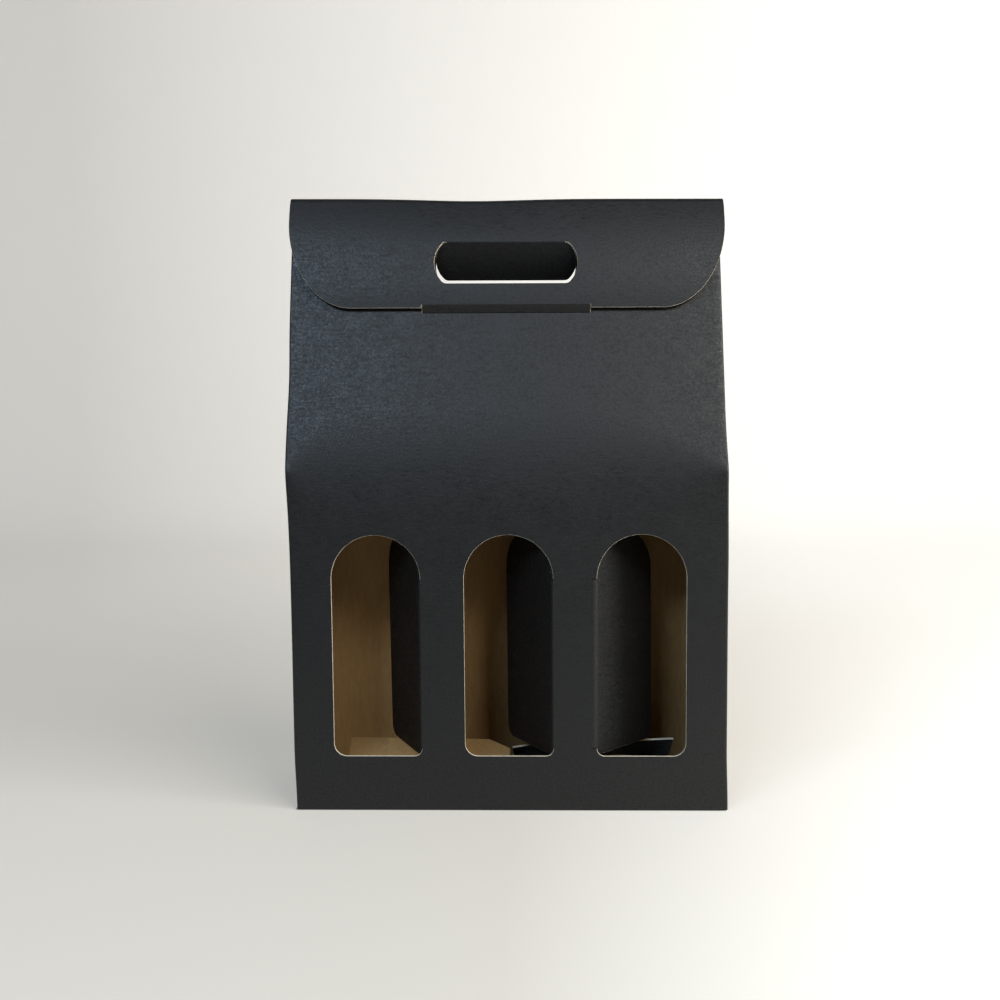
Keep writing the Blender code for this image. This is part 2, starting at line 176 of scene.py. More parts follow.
class WineBoxGable(bpy.types.PropertyGroup):
    """The sloping panels, the ridge and the closure flap."""

    front_lean: bpy.props.FloatProperty(
        name="Front lean",
        description="Lean of the front gable panel",
        default=math.radians(14.771),
        unit="ROTATION",
    )
    back_lean: bpy.props.FloatProperty(
        name="Back lean",
        description="Lean of the back gable panel",
        default=math.radians(13.993),
        unit="ROTATION",
    )
    side_lean: bpy.props.FloatProperty(
        name="Gusset lean",
        description="Lean of the gussets' centres",
        default=math.radians(14.125),
        unit="ROTATION",
    )
    front_length: bpy.props.FloatProperty(
        name="Front length", description="Height of the front gable panel", default=0.152225, unit="LENGTH"
    )
    draw_in: bpy.props.FloatProperty(
        name="Draw in",
        description="How much narrower each side of the front gable is at its top",
        default=0.0007,
        unit="LENGTH",
        precision=4,
    )
    soft_bend: bpy.props.FloatProperty(
        name="Soft bend",
        description="How far above and below the shoulder the board bends in its middle",
        default=0.039,
        unit="LENGTH",
    )
    flap_length: bpy.props.FloatProperty(
        name="Flap length",
        description="From the ridge crease to the flap's foot",
        default=0.067,
        unit="LENGTH",
    )
    flap_lean: bpy.props.FloatProperty(
        name="Flap lean",
        description="Lean of the closure flap",
        default=math.radians(15.201),
        unit="ROTATION",
    )
    flap_bow: bpy.props.FloatProperty(
        name="Flap bow",
        description="How much the flap turns as it bows out",
        default=math.radians(19),
        unit="ROTATION",
    )
    flap_corner: bpy.props.FloatProperty(
        name="Flap corner", description="Width of the flap's round corners", default=0.0393, unit="LENGTH"
    )
    flap_corner_rise: bpy.props.FloatProperty(
        name="Flap corner rise",
        description="Height of the flap's round corners",
        default=0.0565,
        unit="LENGTH",
    )
    flap_spread: bpy.props.FloatProperty(
        name="Flap spread",
        description="How much wider the flap is than its solid",
        default=0.0014,
        unit="LENGTH",
        precision=4,
    )
    flap_shift: bpy.props.FloatProperty(
        name="Flap shift",
        description="How far to the right the flap was folded over",
        default=0.0008,
        unit="LENGTH",
        precision=5,
    )
    tab_rise: bpy.props.FloatProperty(
        name="Tab rise",
        description="Where the tuck tab passes through, above the shoulder",
        default=0.1008,
        unit="LENGTH",
        precision=4,
    )
    tab_root: bpy.props.FloatProperty(
        name="Tab root",
        description="How far above the flap's foot the tuck tab is creased",
        default=0.0022,
        unit="LENGTH",
        precision=4,
    )
    hole_width: bpy.props.FloatProperty(
        name="Hole width", description="Width of the hand hole", default=0.089, unit="LENGTH"
    )
    hole_height: bpy.props.FloatProperty(
        name="Hole height", description="Height of the hand hole", default=0.0269, unit="LENGTH"
    )
    hole_end: bpy.props.FloatProperty(
        name="Hole end", description="Radius of the hand hole's bowed ends", default=0.018, unit="LENGTH"
    )
    hole_corner: bpy.props.FloatProperty(
        name="Hole corner", description="Radius of the hole's lower corners", default=0.0045, unit="LENGTH"
    )
    hole_top: bpy.props.FloatProperty(
        name="Hole top", description="From the ridge crease to the hole", default=0.0249, unit="LENGTH"
    )
    handle_fold: bpy.props.FloatProperty(
        name="Handle fold",
        description="How far the handle flap is pushed in",
        default=math.radians(44.8),
        unit="ROTATION",
    )


class WineBoxWindows(bpy.types.PropertyGroup):
    """The three windows and the dividers folded in from them."""

    width: bpy.props.FloatProperty(
        name="Window width", description="Width of a window", default=0.055, unit="LENGTH"
    )
    pitch: bpy.props.FloatProperty(
        name="Pitch", description="From one window's middle to the next", default=0.082, unit="LENGTH"
    )
    bottom: bpy.props.FloatProperty(
        name="Bottom", description="Height of the windows' lower edge", default=0.035, unit="LENGTH"
    )
    spring: bpy.props.FloatProperty(
        name="Spring", description="Height at which the round tops start", default=0.1465, unit="LENGTH"
    )
    corner: bpy.props.FloatProperty(
        name="Corner", description="Radius of the lower corners", default=0.008, unit="LENGTH"
    )
    hinge_corner: bpy.props.FloatProperty(
        name="Hinge corner",
        description="Radius of the lower corner beside a divider's fold",
        default=0.0048,
        unit="LENGTH",
        precision=4,
    )
    kerf: bpy.props.FloatProperty(
        name="Kerf",
        description="Width of the cut round a divider",
        default=0.0004,
        unit="LENGTH",
        precision=5,
    )
    angles: bpy.props.FloatVectorProperty(
        name="Folded in",
        description="How far the left, middle and right dividers are folded in",
        default=(math.radians(64.0), math.radians(57.8), math.radians(47.2)),
        unit="ROTATION",
    )
    twists: bpy.props.FloatVectorProperty(
        name="Twist",
        description="How much further each divider is folded at its foot than at its top",
        default=(math.radians(1.2), math.radians(1.0), math.radians(-1.6)),
        unit="ROTATION",
    )
    folds: bpy.props.FloatVectorProperty(
        name="Fold radius",
        description="Outer radius of each divider's fold",
        default=(0.0015, 0.0015, 0.0050),
        unit="LENGTH",
        precision=4,
    )
    reaches: bpy.props.FloatVectorProperty(
        name="Fold start",
        description="How far outside its window each divider's fold starts",
        default=(0.0, 0.0, 0.0030),
        unit="LENGTH",
        precision=4,
    )


class WineBoxStage(bpy.types.PropertyGroup):
    """Floor, lamps and camera."""

    floor: bpy.props.FloatVectorProperty(
        name="Floor", description="Colour of the floor", subtype="COLOR", default=(0.80, 0.76, 0.69)
    )
    wall: bpy.props.FloatVectorProperty(
        name="Backdrop", description="Colour of the backdrop", subtype="COLOR", default=(1.0, 0.965, 0.905)
    )
    key: bpy.props.FloatProperty(
        name="Key lamp", description="Strength of the large lamp on the right", default=17.4, unit="POWER"
    )
    fill: bpy.props.FloatProperty(
        name="Fill lamp", description="Strength of the cool lamp on the left", default=14.5, unit="POWER"
    )
    side: bpy.props.FloatProperty(
        name="Side lamp", description="Strength of the low lamp far to the right", default=13.0, unit="POWER"
    )
    room: bpy.props.FloatProperty(
        name="Room light", description="Strength of the light from the room all round", default=0.10
    )
    camera_place: bpy.props.FloatVectorProperty(
        name="Camera",
        description="Where the camera stands",
        subtype="XYZ",
        default=(0.0168, -0.7836, 0.2708),
        unit="LENGTH",
    )
    camera_turn: bpy.props.FloatVectorProperty(
        name="Camera turn",
        description="Pitch, roll and yaw of the camera",
        default=(math.radians(-5.818), math.radians(0.453), math.radians(1.665)),
        unit="ROTATION",
    )
    lens: bpy.props.FloatProperty(
        name="Lens", description="Focal length on a 36 mm sensor, in millimetres", default=43.83
    )


GROUPS = {
    "wine_box_board": WineBoxBoard,
    "wine_box_gable": WineBoxGable,
    "wine_box_windows": WineBoxWindows,
    "wine_box_stage": WineBoxStage,
}


# Flat outlines


def arc(centre, radii, start, end, steps):
    """Points of an elliptic arc, its angles measured from across towards along."""
    turns = np.linspace(start, end, steps + 1)
    return [(centre[0] + radii[0] * math.cos(turn), centre[1] + radii[1] * math.sin(turn)) for turn in turns]


def hand_hole(gable, middle, grow=0.0):
    """The hand hole: straight above and below, with bowed ends that round into the lower edge."""
    half = gable.hole_height / 2 + grow
    radius = gable.hole_end + grow
    corner = gable.hole_corner + grow
    offset = gable.hole_width / 2 + grow - radius
    sweep = math.asin(half / radius)
    run = math.sqrt((radius - corner) ** 2 - (half - corner) ** 2)
    meet = math.atan2(corner - half, run)
    right = arc((offset + run, middle - half + corner), (corner, corner), -math.pi / 2, meet, 6)[:-1]
    right += arc((offset, middle), (radius, radius), meet, sweep, 14)
    return right + [(-across, along) for across, along in reversed(right)]


def window(windows, step, grow, side, reach):
    """A window's outline, or a divider's where grow is negative. Its hinged side steps out by reach."""
    centre = step * windows.pitch
    half = windows.width / 2 + grow
    free, hinged = windows.corner + grow, windows.hinge_corner + grow
    floor, spring = windows.bottom - grow, windows.spring
    lower, upper = floor + hinged - grow, spring + grow
    hinge = windows.width / 2 + reach
    outline = arc((half - hinged, floor + hinged), (hinged, hinged), -math.pi / 2, 0.0, 8)
    outline += [(half, lower), (hinge, lower), (hinge, upper), (half, upper)]
    outline += arc((0.0, spring), (half, half), 0.0, math.pi, 48)
    outline += arc((free - half, floor + free), (free, free), math.pi, 1.5 * math.pi, 10)
    return [(centre + side * across, along) for across, along in outline]


def foot_end(board):
    """Where the inside of a wall's foot fold ends, below the floor line in flat coordinates."""
    return board.foot * (1.0 - math.pi / 2)


def footed(board, wide, flat_edge):
    """The lower end of a wall's outline, from left to right: its foot fold is narrower than the wall."""
    low, edge, inner = foot_end(board), 0.0002, flat_edge - 0.001
    return [(-wide, edge), (-inner, edge), (-inner, low), (inner, low), (inner, edge), (wide, edge)]


# Folded shapes


def ease(value):
    """A smooth step from 0 to 1."""
    value = np.clip(value, 0.0, 1.0)
    return value * value * (3.0 - 2.0 * value)


def hump(value, middle, reach):
    """A bell curve of height 1 round a middle."""
    return np.exp(-(((value - middle) / reach) ** 2))


def folded_line(start, heading, runs, distance):
    """Points and headings along a line of straight runs and round folds, each a length and its turn."""
    distance = np.asarray(distance, float)
    place = np.zeros(distance.shape + (2,))
    ways = np.zeros(distance.shape)
    base, reached = np.array(start, float), 0.0
    for index, (length, turn) in enumerate(runs):
        along = distance - reached
        inside = along >= 0.0 if index else np.ones(distance.shape, bool)
        curve = turn / length
        way = heading + curve * along
        if abs(turn) < 1e-9:
            step = np.stack([along * math.cos(heading), along * math.sin(heading)], -1)
        else:
            step = np.stack([np.sin(way) - math.sin(heading), math.cos(heading) - np.cos(way)], -1) / curve
        place[inside] = (base + step)[inside]
        ways[inside] = way[inside]
        if abs(turn) < 1e-9:
            base = base + length * np.array([math.cos(heading), math.sin(heading)])
        else:
            ahead = heading + turn
            base = base + np.array(
                [math.sin(ahead) - math.sin(heading), math.cos(heading) - math.cos(ahead)]
            ) / curve
        heading += turn
        reached += length
    return place, ways


def turned(points, facing):
    """Points of a wall drawn at the front, turned to face another way."""
    cosine, sine = math.cos(facing), math.sin(facing)
    x, y, z = points[..., 0], points[..., 1], points[..., 2]
    return np.stack([x * cosine - y * sine, x * sine + y * cosine, z], -1)


def settled(points):
    """How the carton stands, a little out of true: its upper half sways left and is pinched in on that
    side, its foot is set right, and its ridge is higher on the left and sags in the middle."""
    x, y, z = points[..., 0], points[..., 1], points[..., 2]
    foot_sway, top_sway, pinch_depth, sag_depth = 0.0009, 0.0015, 0.0008, 0.0014
    ridge_drop, ridge_slope = -0.0001, 0.0107
    sway = foot_sway * (1.0 - ease(z / 0.04)) - top_sway * ease((z - 0.15) / 0.10)
    pinch = pinch_depth * hump(z, 0.268, 0.024) * np.clip(-x / 0.13, 0.0, 1.0)
    tilt = np.clip((z - 0.25) / 0.13, 0.0, 1.0) * (ridge_drop - ridge_slope * x)
    sag = sag_depth * hump(x, -0.02, 0.042) * ease((z - 0.354) / 0.028)
    return np.stack([x + sway + pinch, y, z + tilt - sag], -1)


def half_width(along, board, shoulder):
    """Half the carton's width at a height: it draws in a little at the waist and spreads at the shoulder."""
    waist, spread = hump(along, 0.125, 0.055), 0.0004 * hump(along, shoulder, 0.018)
    return SIZE["width"] / 2 - board.waist * waist + spread


def shoulder_of(board, lean):
    """Height of a wall's shoulder on its outer face, in flat coordinates."""
    return SIZE["shoulder"] + board.thickness / 2 * math.tan(lean / 2)


def wall_shape(board, facing, lean, soft, draw_in=0.0, length=1.0, side=False):
    """A wall with the gable panel above it: outer face points for flat coordinates (across, height).
    The front and back walls wrap round the upright corners, and the side walls stand between them."""
    shoulder = shoulder_of(board, lean)
    reach = SIZE["width"] / 2 if side else SIZE["depth"] / 2
    flat_edge = SIZE["width"] / 2 - board.corner
    hard = 0.0015  # how far the board bends at its edges, where the corner folds stiffen it
    crisp_left, crisp_right = 9.0, 3.2  # how late the soft bend ends on its way to each edge
    tail = 0.0008  # flat run past a corner's fold

    def shape(across, along):
        size, sign = np.abs(across), np.sign(across)
        above = np.clip(along - shoulder, 0.0, None)
        below = np.minimum(along, shoulder)
        foot = np.clip(board.foot - below, 0.0, None) / board.foot
        rounded = below < board.foot
        up = np.where(rounded, board.foot * (1.0 - np.sin(foot)), below)
        inwards = np.where(rounded, board.foot * (1.0 - np.cos(foot)), 0.0)
        inwards = inwards + above * math.sin(lean)
        up = up + above * math.cos(lean)
        inwards = inwards - reach
        if side:
            inwards = inwards - (half_width(below, board, shoulder) - SIZE["width"] / 2)
            bend = 0.002
        else:
            share = np.clip(size / flat_edge, 0.0, 1.0)
            crispness = np.where(across < 0.0, crisp_left, crisp_right)
            bend = hard + (soft - hard) * (1.0 - share**crispness)
        off = np.clip(np.abs(along - shoulder) / bend, 0.0, 1.0)
        depth = lean * bend * (1.0 - off) ** 2 / 4.0
        tilt = lean * ease((along - shoulder + 0.003) / 0.006)
        x = across
        if not side:
            raised = ease((along - shoulder + 0.001) / 0.007)
            radius = board.corner + (board.edge_fold - board.corner) * raised
            turn = math.pi / 2 * (1.0 + raised)
            over = np.clip(size - flat_edge, 0.0, None) / WRAP
            run = over * (radius * turn + tail)
            angle = np.minimum(run / radius, turn)
            rest = np.clip(run - radius * turn, 0.0, None)
            half = half_width(np.minimum(along, shoulder + 0.03), board, shoulder)
            half = half - draw_in * above / length
            x = (half - radius) * np.minimum(size, flat_edge) / flat_edge
            x = x + radius * np.sin(angle) + rest * np.cos(turn)
            depth = depth + radius * (1.0 - np.cos(angle)) + rest * np.sin(turn)
            x = sign * x
        points = np.stack([x, inwards + depth * np.cos(tilt), up - depth * np.sin(tilt)], -1)
        return turned(points, facing)

    return shape, shoulder


# Sheets


def crosses(first, second, levels, axis):
    """Where an edge crosses grid lines, as shares of its length."""
    span = second[axis] - first[axis]
    if abs(span) < 1e-9:
        return []
    shares = [(level - first[axis]) / span for level in levels]
    return [share for share in shares if 1e-3 < share < 1.0 - 1e-3]


def split_loop(loop, columns, rows, folded):
    """A loop's points with one more wherever it crosses the grid, and whether each next edge is a fold."""
    shortest = 0.00012
    points, folds = [], []
    for first, second in zip(loop, loop[1:] + loop[:1]):
        length = math.hypot(second[0] - first[0], second[1] - first[1])
        if length < 1e-7:
            continue
        shares = sorted(crosses(first, second, columns, 0) + crosses(first, second, rows, 1))
        kept = [0.0]
        for share in shares:
            if (share - kept[-1]) * length > shortest and (1.0 - share) * length > shortest:
                kept.append(share)
        middle = ((first[0] + second[0]) / 2, (first[1] + second[1]) / 2)
        for share in kept:
            points.append(tuple(first[axis] + (second[axis] - first[axis]) * share for axis in (0, 1)))
            folds.append(bool(folded and folded(*middle)))
    return np.array(points), folds


def inside_loop(points, loop):
    """Which points lie inside a closed loop."""
    x, y = points[:, 0][:, None], points[:, 1][:, None]
    ax, ay = loop[:, 0], loop[:, 1]
    bx, by = np.roll(ax, -1), np.roll(ay, -1)
    rises = (ay > y) != (by > y)
    with np.errstate(divide="ignore", invalid="ignore"):
        reach = (bx - ax) * (y - ay) / (by - ay) + ax
    return ((x < reach) & rises).sum(1) % 2 == 1


def loop_distance(points, loop, chosen):
    """Distance from each point to the nearest chosen edge of a loop."""
    best = np.full(len(points), 1.0)
    following = np.roll(loop, -1, axis=0)
    for first, second, wanted in zip(loop, following, chosen):
        if wanted:
            span = second - first
            share = np.clip(((points - first) @ span) / max(span @ span, 1e-18), 0.0, 1.0)
            best = np.minimum(best, np.linalg.norm(points - first - share[:, None] * span, axis=1))
    return best


def along_fold(way, inward):
    """Step along a fold that takes a point one unit away from the cut edge that meets it."""
    share = float(way @ inward)
    return way / share if share > 0.2 else inward


def inset_steps(points, folds):
    """Which way, and how far for each unit, every point of a loop moves to widen its bevel, and how much of
    it is cut. Loops run counterclockwise round the board and clockwise round a hole, so the board lies on
    the left."""
    steps, cut = [], []
    count = len(points)
    for index in range(count):
        before = points[index] - points[index - 1]
        after = points[(index + 1) % count] - points[index]
        before, after = before / np.linalg.norm(before), after / np.linalg.norm(after)
        left_before, left_after = np.array([-before[1], before[0]]), np.array([-after[1], after[0]])
        folded_before, folded_after = folds[index - 1], folds[index]
        if folded_before and folded_after:
            step = np.zeros(2)
        elif folded_before:
            step = along_fold(-before, left_after)
        elif folded_after:
            step = along_fold(after, left_before)
        else:
            step = (left_before + left_after) / max(0.35, 1.0 + float(left_before @ left_after))
        steps.append(step)
        cut.append(1.0 - 0.5 * folded_before - 0.5 * folded_after)
    return np.array(steps), np.array(cut)


def signed_area(loop):
    """Area inside a loop, positive where it runs counterclockwise."""
    x, y = loop[:, 0], loop[:, 1]
    return float((x * np.roll(y, -1) - np.roll(x, -1) * y).sum() / 2)


def normals_of(shape, across, along):
    """Outward normals of a folded shape."""
    step = 2e-6
    first = shape(across + step, along) - shape(across - step, along)
    second = shape(across, along + step) - shape(across, along - step)
    normal = np.cross(first, second)
    return normal / np.linalg.norm(normal, axis=-1, keepdims=True)


def grid_lines(low, high, pitch, extra=()):
    """Evenly spaced grid lines, with more where a fold needs them."""
    lines = list(np.linspace(low, high, max(2, int(round((high - low) / pitch)) + 1)))
    lines = [line for line in lines if all(abs(line - other) > pitch * 0.2 for other in extra)]
    return sorted(lines + list(extra))


def on_board(points, loops):
    """Which points lie on the board: inside its outline and outside its holes."""
    wanted = inside_loop(points, loops[0][0])
    for line, _ in loops[1:]:
        wanted &= ~inside_loop(points, line)
    return wanted


def counterclockwise(triangles, flat):
    """The triangles, each one turned so that it faces up in flat coordinates."""
    first, second, third = (flat[triangles[:, corner]] for corner in range(3))
    area = (second[:, 0] - first[:, 0]) * (third[:, 1] - first[:, 1])
    area -= (third[:, 0] - first[:, 0]) * (second[:, 1] - first[:, 1])
    triangles[area < 0] = triangles[area < 0][:, ::-1]
    return triangles


def filled(points, edges, loops, columns, rows, bevel):
    """Fills the flat loops with triangles: every point, the triangles, and each point's place in points, or
    -1 for a point of the grid."""
    grid = np.array([(column, row) for column in columns for row in rows])
    grid = grid[on_board(grid, loops)]
    clear_of_cut, clear_of_fold = max(bevel * 2.0, 0.0005), 0.00008
    for line, folds in loops:
        grid = grid[loop_distance(grid, line, [not fold for fold in folds]) > clear_of_cut]
        grid = grid[loop_distance(grid, line, folds) > clear_of_fold]
    flat = np.vstack([np.array(points), grid]) if len(grid) else np.array(points)
    scale = 1000.0  # the filling is done in millimetres
    result = delaunay_2d_cdt([Vector(point * scale) for point in flat], edges, [], 0, 1e-5)
    spots, triangles, sources = result[0], result[2], result[3]
    flat = np.array([(spot.x / scale, spot.y / scale) for spot in spots])
    source = np.array([entry[0] if entry else -1 for entry in sources])
    source[source >= len(points)] = -1
    triangles = np.array([list(triangle) for triangle in triangles])
    triangles = triangles[on_board(flat[triangles].mean(1), loops)]
    return flat, counterclockwise(triangles, flat), source


def sheet(name, outline, holes, shape, columns, rows, folded=None, bevel=None, shade_matt=False):
    """A folded board: its flat outline and holes, filled with triangles and put in place by its shape.
    Edges of the outline that folded says yes to are folds, which go on in the next piece, and not cuts."""
    board = bpy.context.scene.wine_box_board
    bevel = board.bevel if bevel is None else bevel

    def place(across, along):
        return settled(shape(across, along))

    points, edges, steps, cuts, loops = [], [], [], [], []
    for index, loop in enumerate((outline, *holes)):
        loop_points = list(loop)
        if (signed_area(np.array(loop_points)) > 0) != (index == 0):
            loop_points.reverse()
        line, folds = split_loop(loop_points, columns, rows, folded)
        step, cut = inset_steps(line, folds)
        start = len(points)
        points.extend(line)
        edges.extend((start + item, start + (item + 1) % len(line)) for item in range(len(line)))
        steps.extend(step)
        cuts.extend(cut)
        loops.append((line, folds))
    flat, triangles, source = filled(points, edges, loops, columns, rows, bevel)
    on_border = source >= 0
    inset, cut = np.zeros((len(flat), 2)), np.zeros(len(flat))
    inset[on_border] = np.array(steps)[source[on_border]] * bevel
    cut[on_border] = np.array(cuts)[source[on_border]]
    moved = flat + inset
    face = place(moved[:, 0], moved[:, 1])
    middle_face = place(flat[:, 0], flat[:, 1])
    normal = normals_of(place, flat[:, 0], flat[:, 1])
    rim = middle_face - normal * bevel - face
    back = -normal * (board.thickness - bevel)
    mesh = bpy.data.meshes.new(name)
    mesh.from_pydata(face.tolist(), [], triangles.tolist())
    for key, values in (("rim", rim), ("back", back)):
        entry = mesh.attributes.new(key, "FLOAT_VECTOR", "POINT")
        entry.data.foreach_set("vector", values.astype(np.float32).ravel())
    entry = mesh.attributes.new("cut", "FLOAT", "POINT")
    entry.data.foreach_set("value", cut.astype(np.float32))
    piece = bpy.data.objects.new(name, mesh)
    bpy.context.scene.collection.objects.link(piece)
    return thicken(piece, shade_matt)


SHARP = math.radians(34)  # edges that turn more than this are drawn sharp


def thicken(piece, shade_matt):
    """Runs the board tree on a folded face and keeps the result as a plain mesh."""
    tree = board_tree()
    modifier = piece.modifiers.new("Board", "NODES")
    modifier.node_group = tree
    # Folded-in pieces in shade take the duller black paper, as painted shade.
    makers = {**FINISHES, "Black face": shade_dulled_paper} if shade_matt else FINISHES
    for item in tree.interface.items_tree:
        if item.item_type == "SOCKET" and item.in_out == "INPUT" and item.name in makers:
            modifier[item.identifier] = finish(makers[item.name])
    depsgraph = bpy.context.evaluated_depsgraph_get()
    mesh = bpy.data.meshes.new_from_object(piece.evaluated_get(depsgraph), depsgraph=depsgraph)
    piece.modifiers.clear()
    old = piece.data
    piece.data = mesh
    bpy.data.meshes.remove(old)
    mesh.name = piece.name
    for key in ("rim", "back"):
        if key in mesh.attributes:
            mesh.attributes.remove(mesh.attributes[key])
    mesh.shade_smooth()
    mesh.set_sharp_from_angle(angle=SHARP)
    return piece


def board_tree():
    """Geometry Nodes tree: gives a folded face its thickness, its crushed cut edges and its finishes."""
    if "Board" in bpy.data.node_groups:
        return bpy.data.node_groups["Board"]
    touching, mostly_cut = 1e-7, 0.6
    tree = bpy.data.node_groups.new("Board", "GeometryNodeTree")
    tree.is_modifier = True
    tree.interface.new_socket("Geometry", in_out="INPUT", socket_type="NodeSocketGeometry")
    for name in FINISHES:
        tree.interface.new_socket(name, in_out="INPUT", socket_type="NodeSocketMaterial")
    tree.interface.new_socket("Geometry", in_out="OUTPUT", socket_type="NodeSocketGeometry")
    add, link = tree.nodes.new, tree.links.new
    entry, leave = add("NodeGroupInput"), add("NodeGroupOutput")

    def named(name, kind):
        node = add("GeometryNodeInputNamedAttribute")
        node.data_type = kind
        node.inputs["Name"].default_value = name
        return node.outputs["Attribute"]

    def layer(geometry, selection, offset):
        pull = add("GeometryNodeExtrudeMesh")
        pull.mode = "FACES"
        pull.inputs["Individual"].default_value = False
        pull.inputs["Offset Scale"].default_value = 0.0
        link(geometry, pull.inputs["Mesh"])
        if selection:
            link(selection, pull.inputs["Selection"])
        place = add("GeometryNodeSetPosition")
        link(pull.outputs["Mesh"], place.inputs["Geometry"])
        link(pull.outputs["Top"], place.inputs["Selection"])
        link(offset, place.inputs["Offset"])
        return place.outputs["Geometry"], pull.outputs["Top"], pull.outputs["Side"]

    bevelled, top, first_side = layer(entry.outputs["Geometry"], None, named("rim", "FLOAT_VECTOR"))
    full, inner, second_side = layer(bevelled, top, named("back", "FLOAT_VECTOR"))
    flip = add("GeometryNodeFlipFaces")
    link(full, flip.inputs["Mesh"])
    join = add("GeometryNodeJoinGeometry")
    link(flip.outputs["Mesh"], join.inputs["Geometry"])
    link(entry.outputs["Geometry"], join.inputs["Geometry"])
    merge = add("GeometryNodeMergeByDistance")
    merge.inputs["Distance"].default_value = touching
    link(join.outputs["Geometry"], merge.inputs["Geometry"])
    real = add("GeometryNodeRealizeInstances")
    link(merge.outputs["Geometry"], real.inputs["Geometry"])
    sides = add("FunctionNodeBooleanMath")
    sides.operation = "OR"
    link(first_side, sides.inputs[0])
    link(second_side, sides.inputs[1])
    share = add("FunctionNodeCompare")
    share.data_type = "FLOAT"
    share.operation = "GREATER_THAN"
    share.inputs["B"].default_value = mostly_cut
    spread = add("GeometryNodeFieldOnDomain")
    spread.data_type = "FLOAT"
    spread.domain = "FACE"
    link(named("cut", "FLOAT"), spread.inputs["Value"])
    link(spread.outputs["Value"], share.inputs["A"])
    edges = add("FunctionNodeBooleanMath")
    edges.operation = "AND"
    link(sides.outputs["Boolean"], edges.inputs[0])
    link(share.outputs["Result"], edges.inputs[1])
    geometry = real.outputs["Geometry"]
    painted = (("Black face", None), ("Cut edge", edges.outputs["Boolean"]), ("Kraft face", inner))
    for name, selection in painted:
        paint = add("GeometryNodeSetMaterial")
        link(geometry, paint.inputs["Geometry"])
        link(entry.outputs[name], paint.inputs["Material"])
        if selection:
            link(selection, paint.inputs["Selection"])
        geometry = paint.outputs["Geometry"]
    link(geometry, leave.inputs["Geometry"])
    return tree


# Finishes


class Nodes:
    """Short words for building a material's node tree."""

    def __init__(self, name):
        self.material = bpy.data.materials.new(name)
        self.material.use_nodes = True
        self.tree = self.material.node_tree
        self.shader = self.tree.nodes["Principled BSDF"]

    def add(self, kind, **settings):
        node = self.tree.nodes.new(kind)
        for key, value in settings.items():
            setattr(node, key, value)
        return node

    def link(self, source, target):
        self.tree.links.new(source, target)

    def place(self, scale=(1.0, 1.0, 1.0)):
        coordinates = self.add("ShaderNodeTexCoord")
        mapping = self.add("ShaderNodeMapping")
        mapping.inputs["Scale"].default_value = scale
        self.link(coordinates.outputs["Object"], mapping.inputs["Vector"])
        return mapping.outputs["Vector"]

    def noise(self, vector, scale, detail=4.0, roughness=0.55, distortion=0.0):
        node = self.add("ShaderNodeTexNoise")
        node.inputs["Scale"].default_value = scale
        node.inputs["Detail"].default_value = detail
        node.inputs["Roughness"].default_value = roughness
        node.inputs["Distortion"].default_value = distortion
        self.link(vector, node.inputs["Vector"])
        return node.outputs["Fac"]

    def range(self, value, low, high, to_low, to_high):
        node = self.add("ShaderNodeMapRange")
        for key, number in (("From Min", low), ("From Max", high), ("To Min", to_low), ("To Max", to_high)):
            node.inputs[key].default_value = number
        self.link(value, node.inputs["Value"])
        return node.outputs["Result"]

    def maths(self, operation, first, second):
        node = self.add("ShaderNodeMath", operation=operation)
        for index, value in enumerate((first, second)):
            if isinstance(value, (int, float)):
                node.inputs[index].default_value = value
            else:
                self.link(value, node.inputs[index])
        return node.outputs["Value"]

    def mix(self, share, first, second):
        node = self.add("ShaderNodeMix", data_type="RGBA")
        self.link(share, node.inputs["Factor"])
        for key, value in (("A", first), ("B", second)):
            socket = next(item for item in node.inputs if item.name == key and item.type == "RGBA")
            if isinstance(value, tuple):
                socket.default_value = (*value, 1.0)
            else:
                self.link(value, socket)
        return next(item for item in node.outputs if item.type == "RGBA")

    def stain(self, tone, pattern, low, high, share, colour):
        """The tone with a colour over it where a pattern is high, up to a share."""
        return self.mix(self.range(pattern, low, high, 0.0, share), tone, colour)

    def bump(self, height, strength, distance):
        node = self.add("ShaderNodeBump")
        node.inputs["Strength"].default_value = strength
        node.inputs["Distance"].default_value = distance
        self.link(height, node.inputs["Height"])
        self.link(node.outputs["Normal"], self.shader.inputs["Normal"])


def scaled(colour, factor):
    """A colour made lighter or darker, and no lighter than white."""
    return tuple(min(1.0, part * factor) for part in colour)


def black_paper(board, name="black_paper", gloss=0.42, shade_matt=0.0):
    """Black dyed paper: short fibres lie in patches and faint streaks that catch the light differently."""
    nodes = Nodes(name)
    vector = nodes.place()
    mottle = nodes.noise(vector, 620.0, 4.0, 0.62)
    streak = nodes.noise(nodes.place((0.28, 0.28, 1.5)), 560.0, 3.0, 0.6)
    cloud = nodes.noise(vector, 60.0, 4.0, 0.6)
    fibre = nodes.noise(vector, 1500.0, 2.0, 0.6)
    black = board.black
    tone = nodes.stain(scaled(black, 0.35), mottle, 0.35, 0.65, 1.0, scaled(black, 1.9))
    tone = nodes.stain(tone, cloud, 0.3, 0.7, 0.5, scaled(black, 1.3))
    nodes.link(tone, nodes.shader.inputs["Base Color"])
    grain = nodes.maths("ADD", nodes.maths("MULTIPLY", mottle, 0.50), nodes.maths("MULTIPLY", streak, 0.32))
    grain = nodes.maths("ADD", grain, nodes.maths("MULTIPLY", fibre, 0.18))
    # The added roughness here and a lower gloss make the duller copy that serves as painted shade on
    # folded-in pieces.
    dull, shiny = 0.62 + shade_matt, 0.34 + shade_matt
    rough = nodes.range(grain, 0.38, 0.62, dull, shiny)
    rough = nodes.maths("ADD", rough, nodes.range(cloud, 0.3, 0.7, 0.035, -0.035))
    nodes.link(rough, nodes.shader.inputs["Roughness"])
    nodes.bump(grain, 0.85, 0.00025)
    nodes.shader.inputs["Specular IOR Level"].default_value = gloss
    return nodes.material


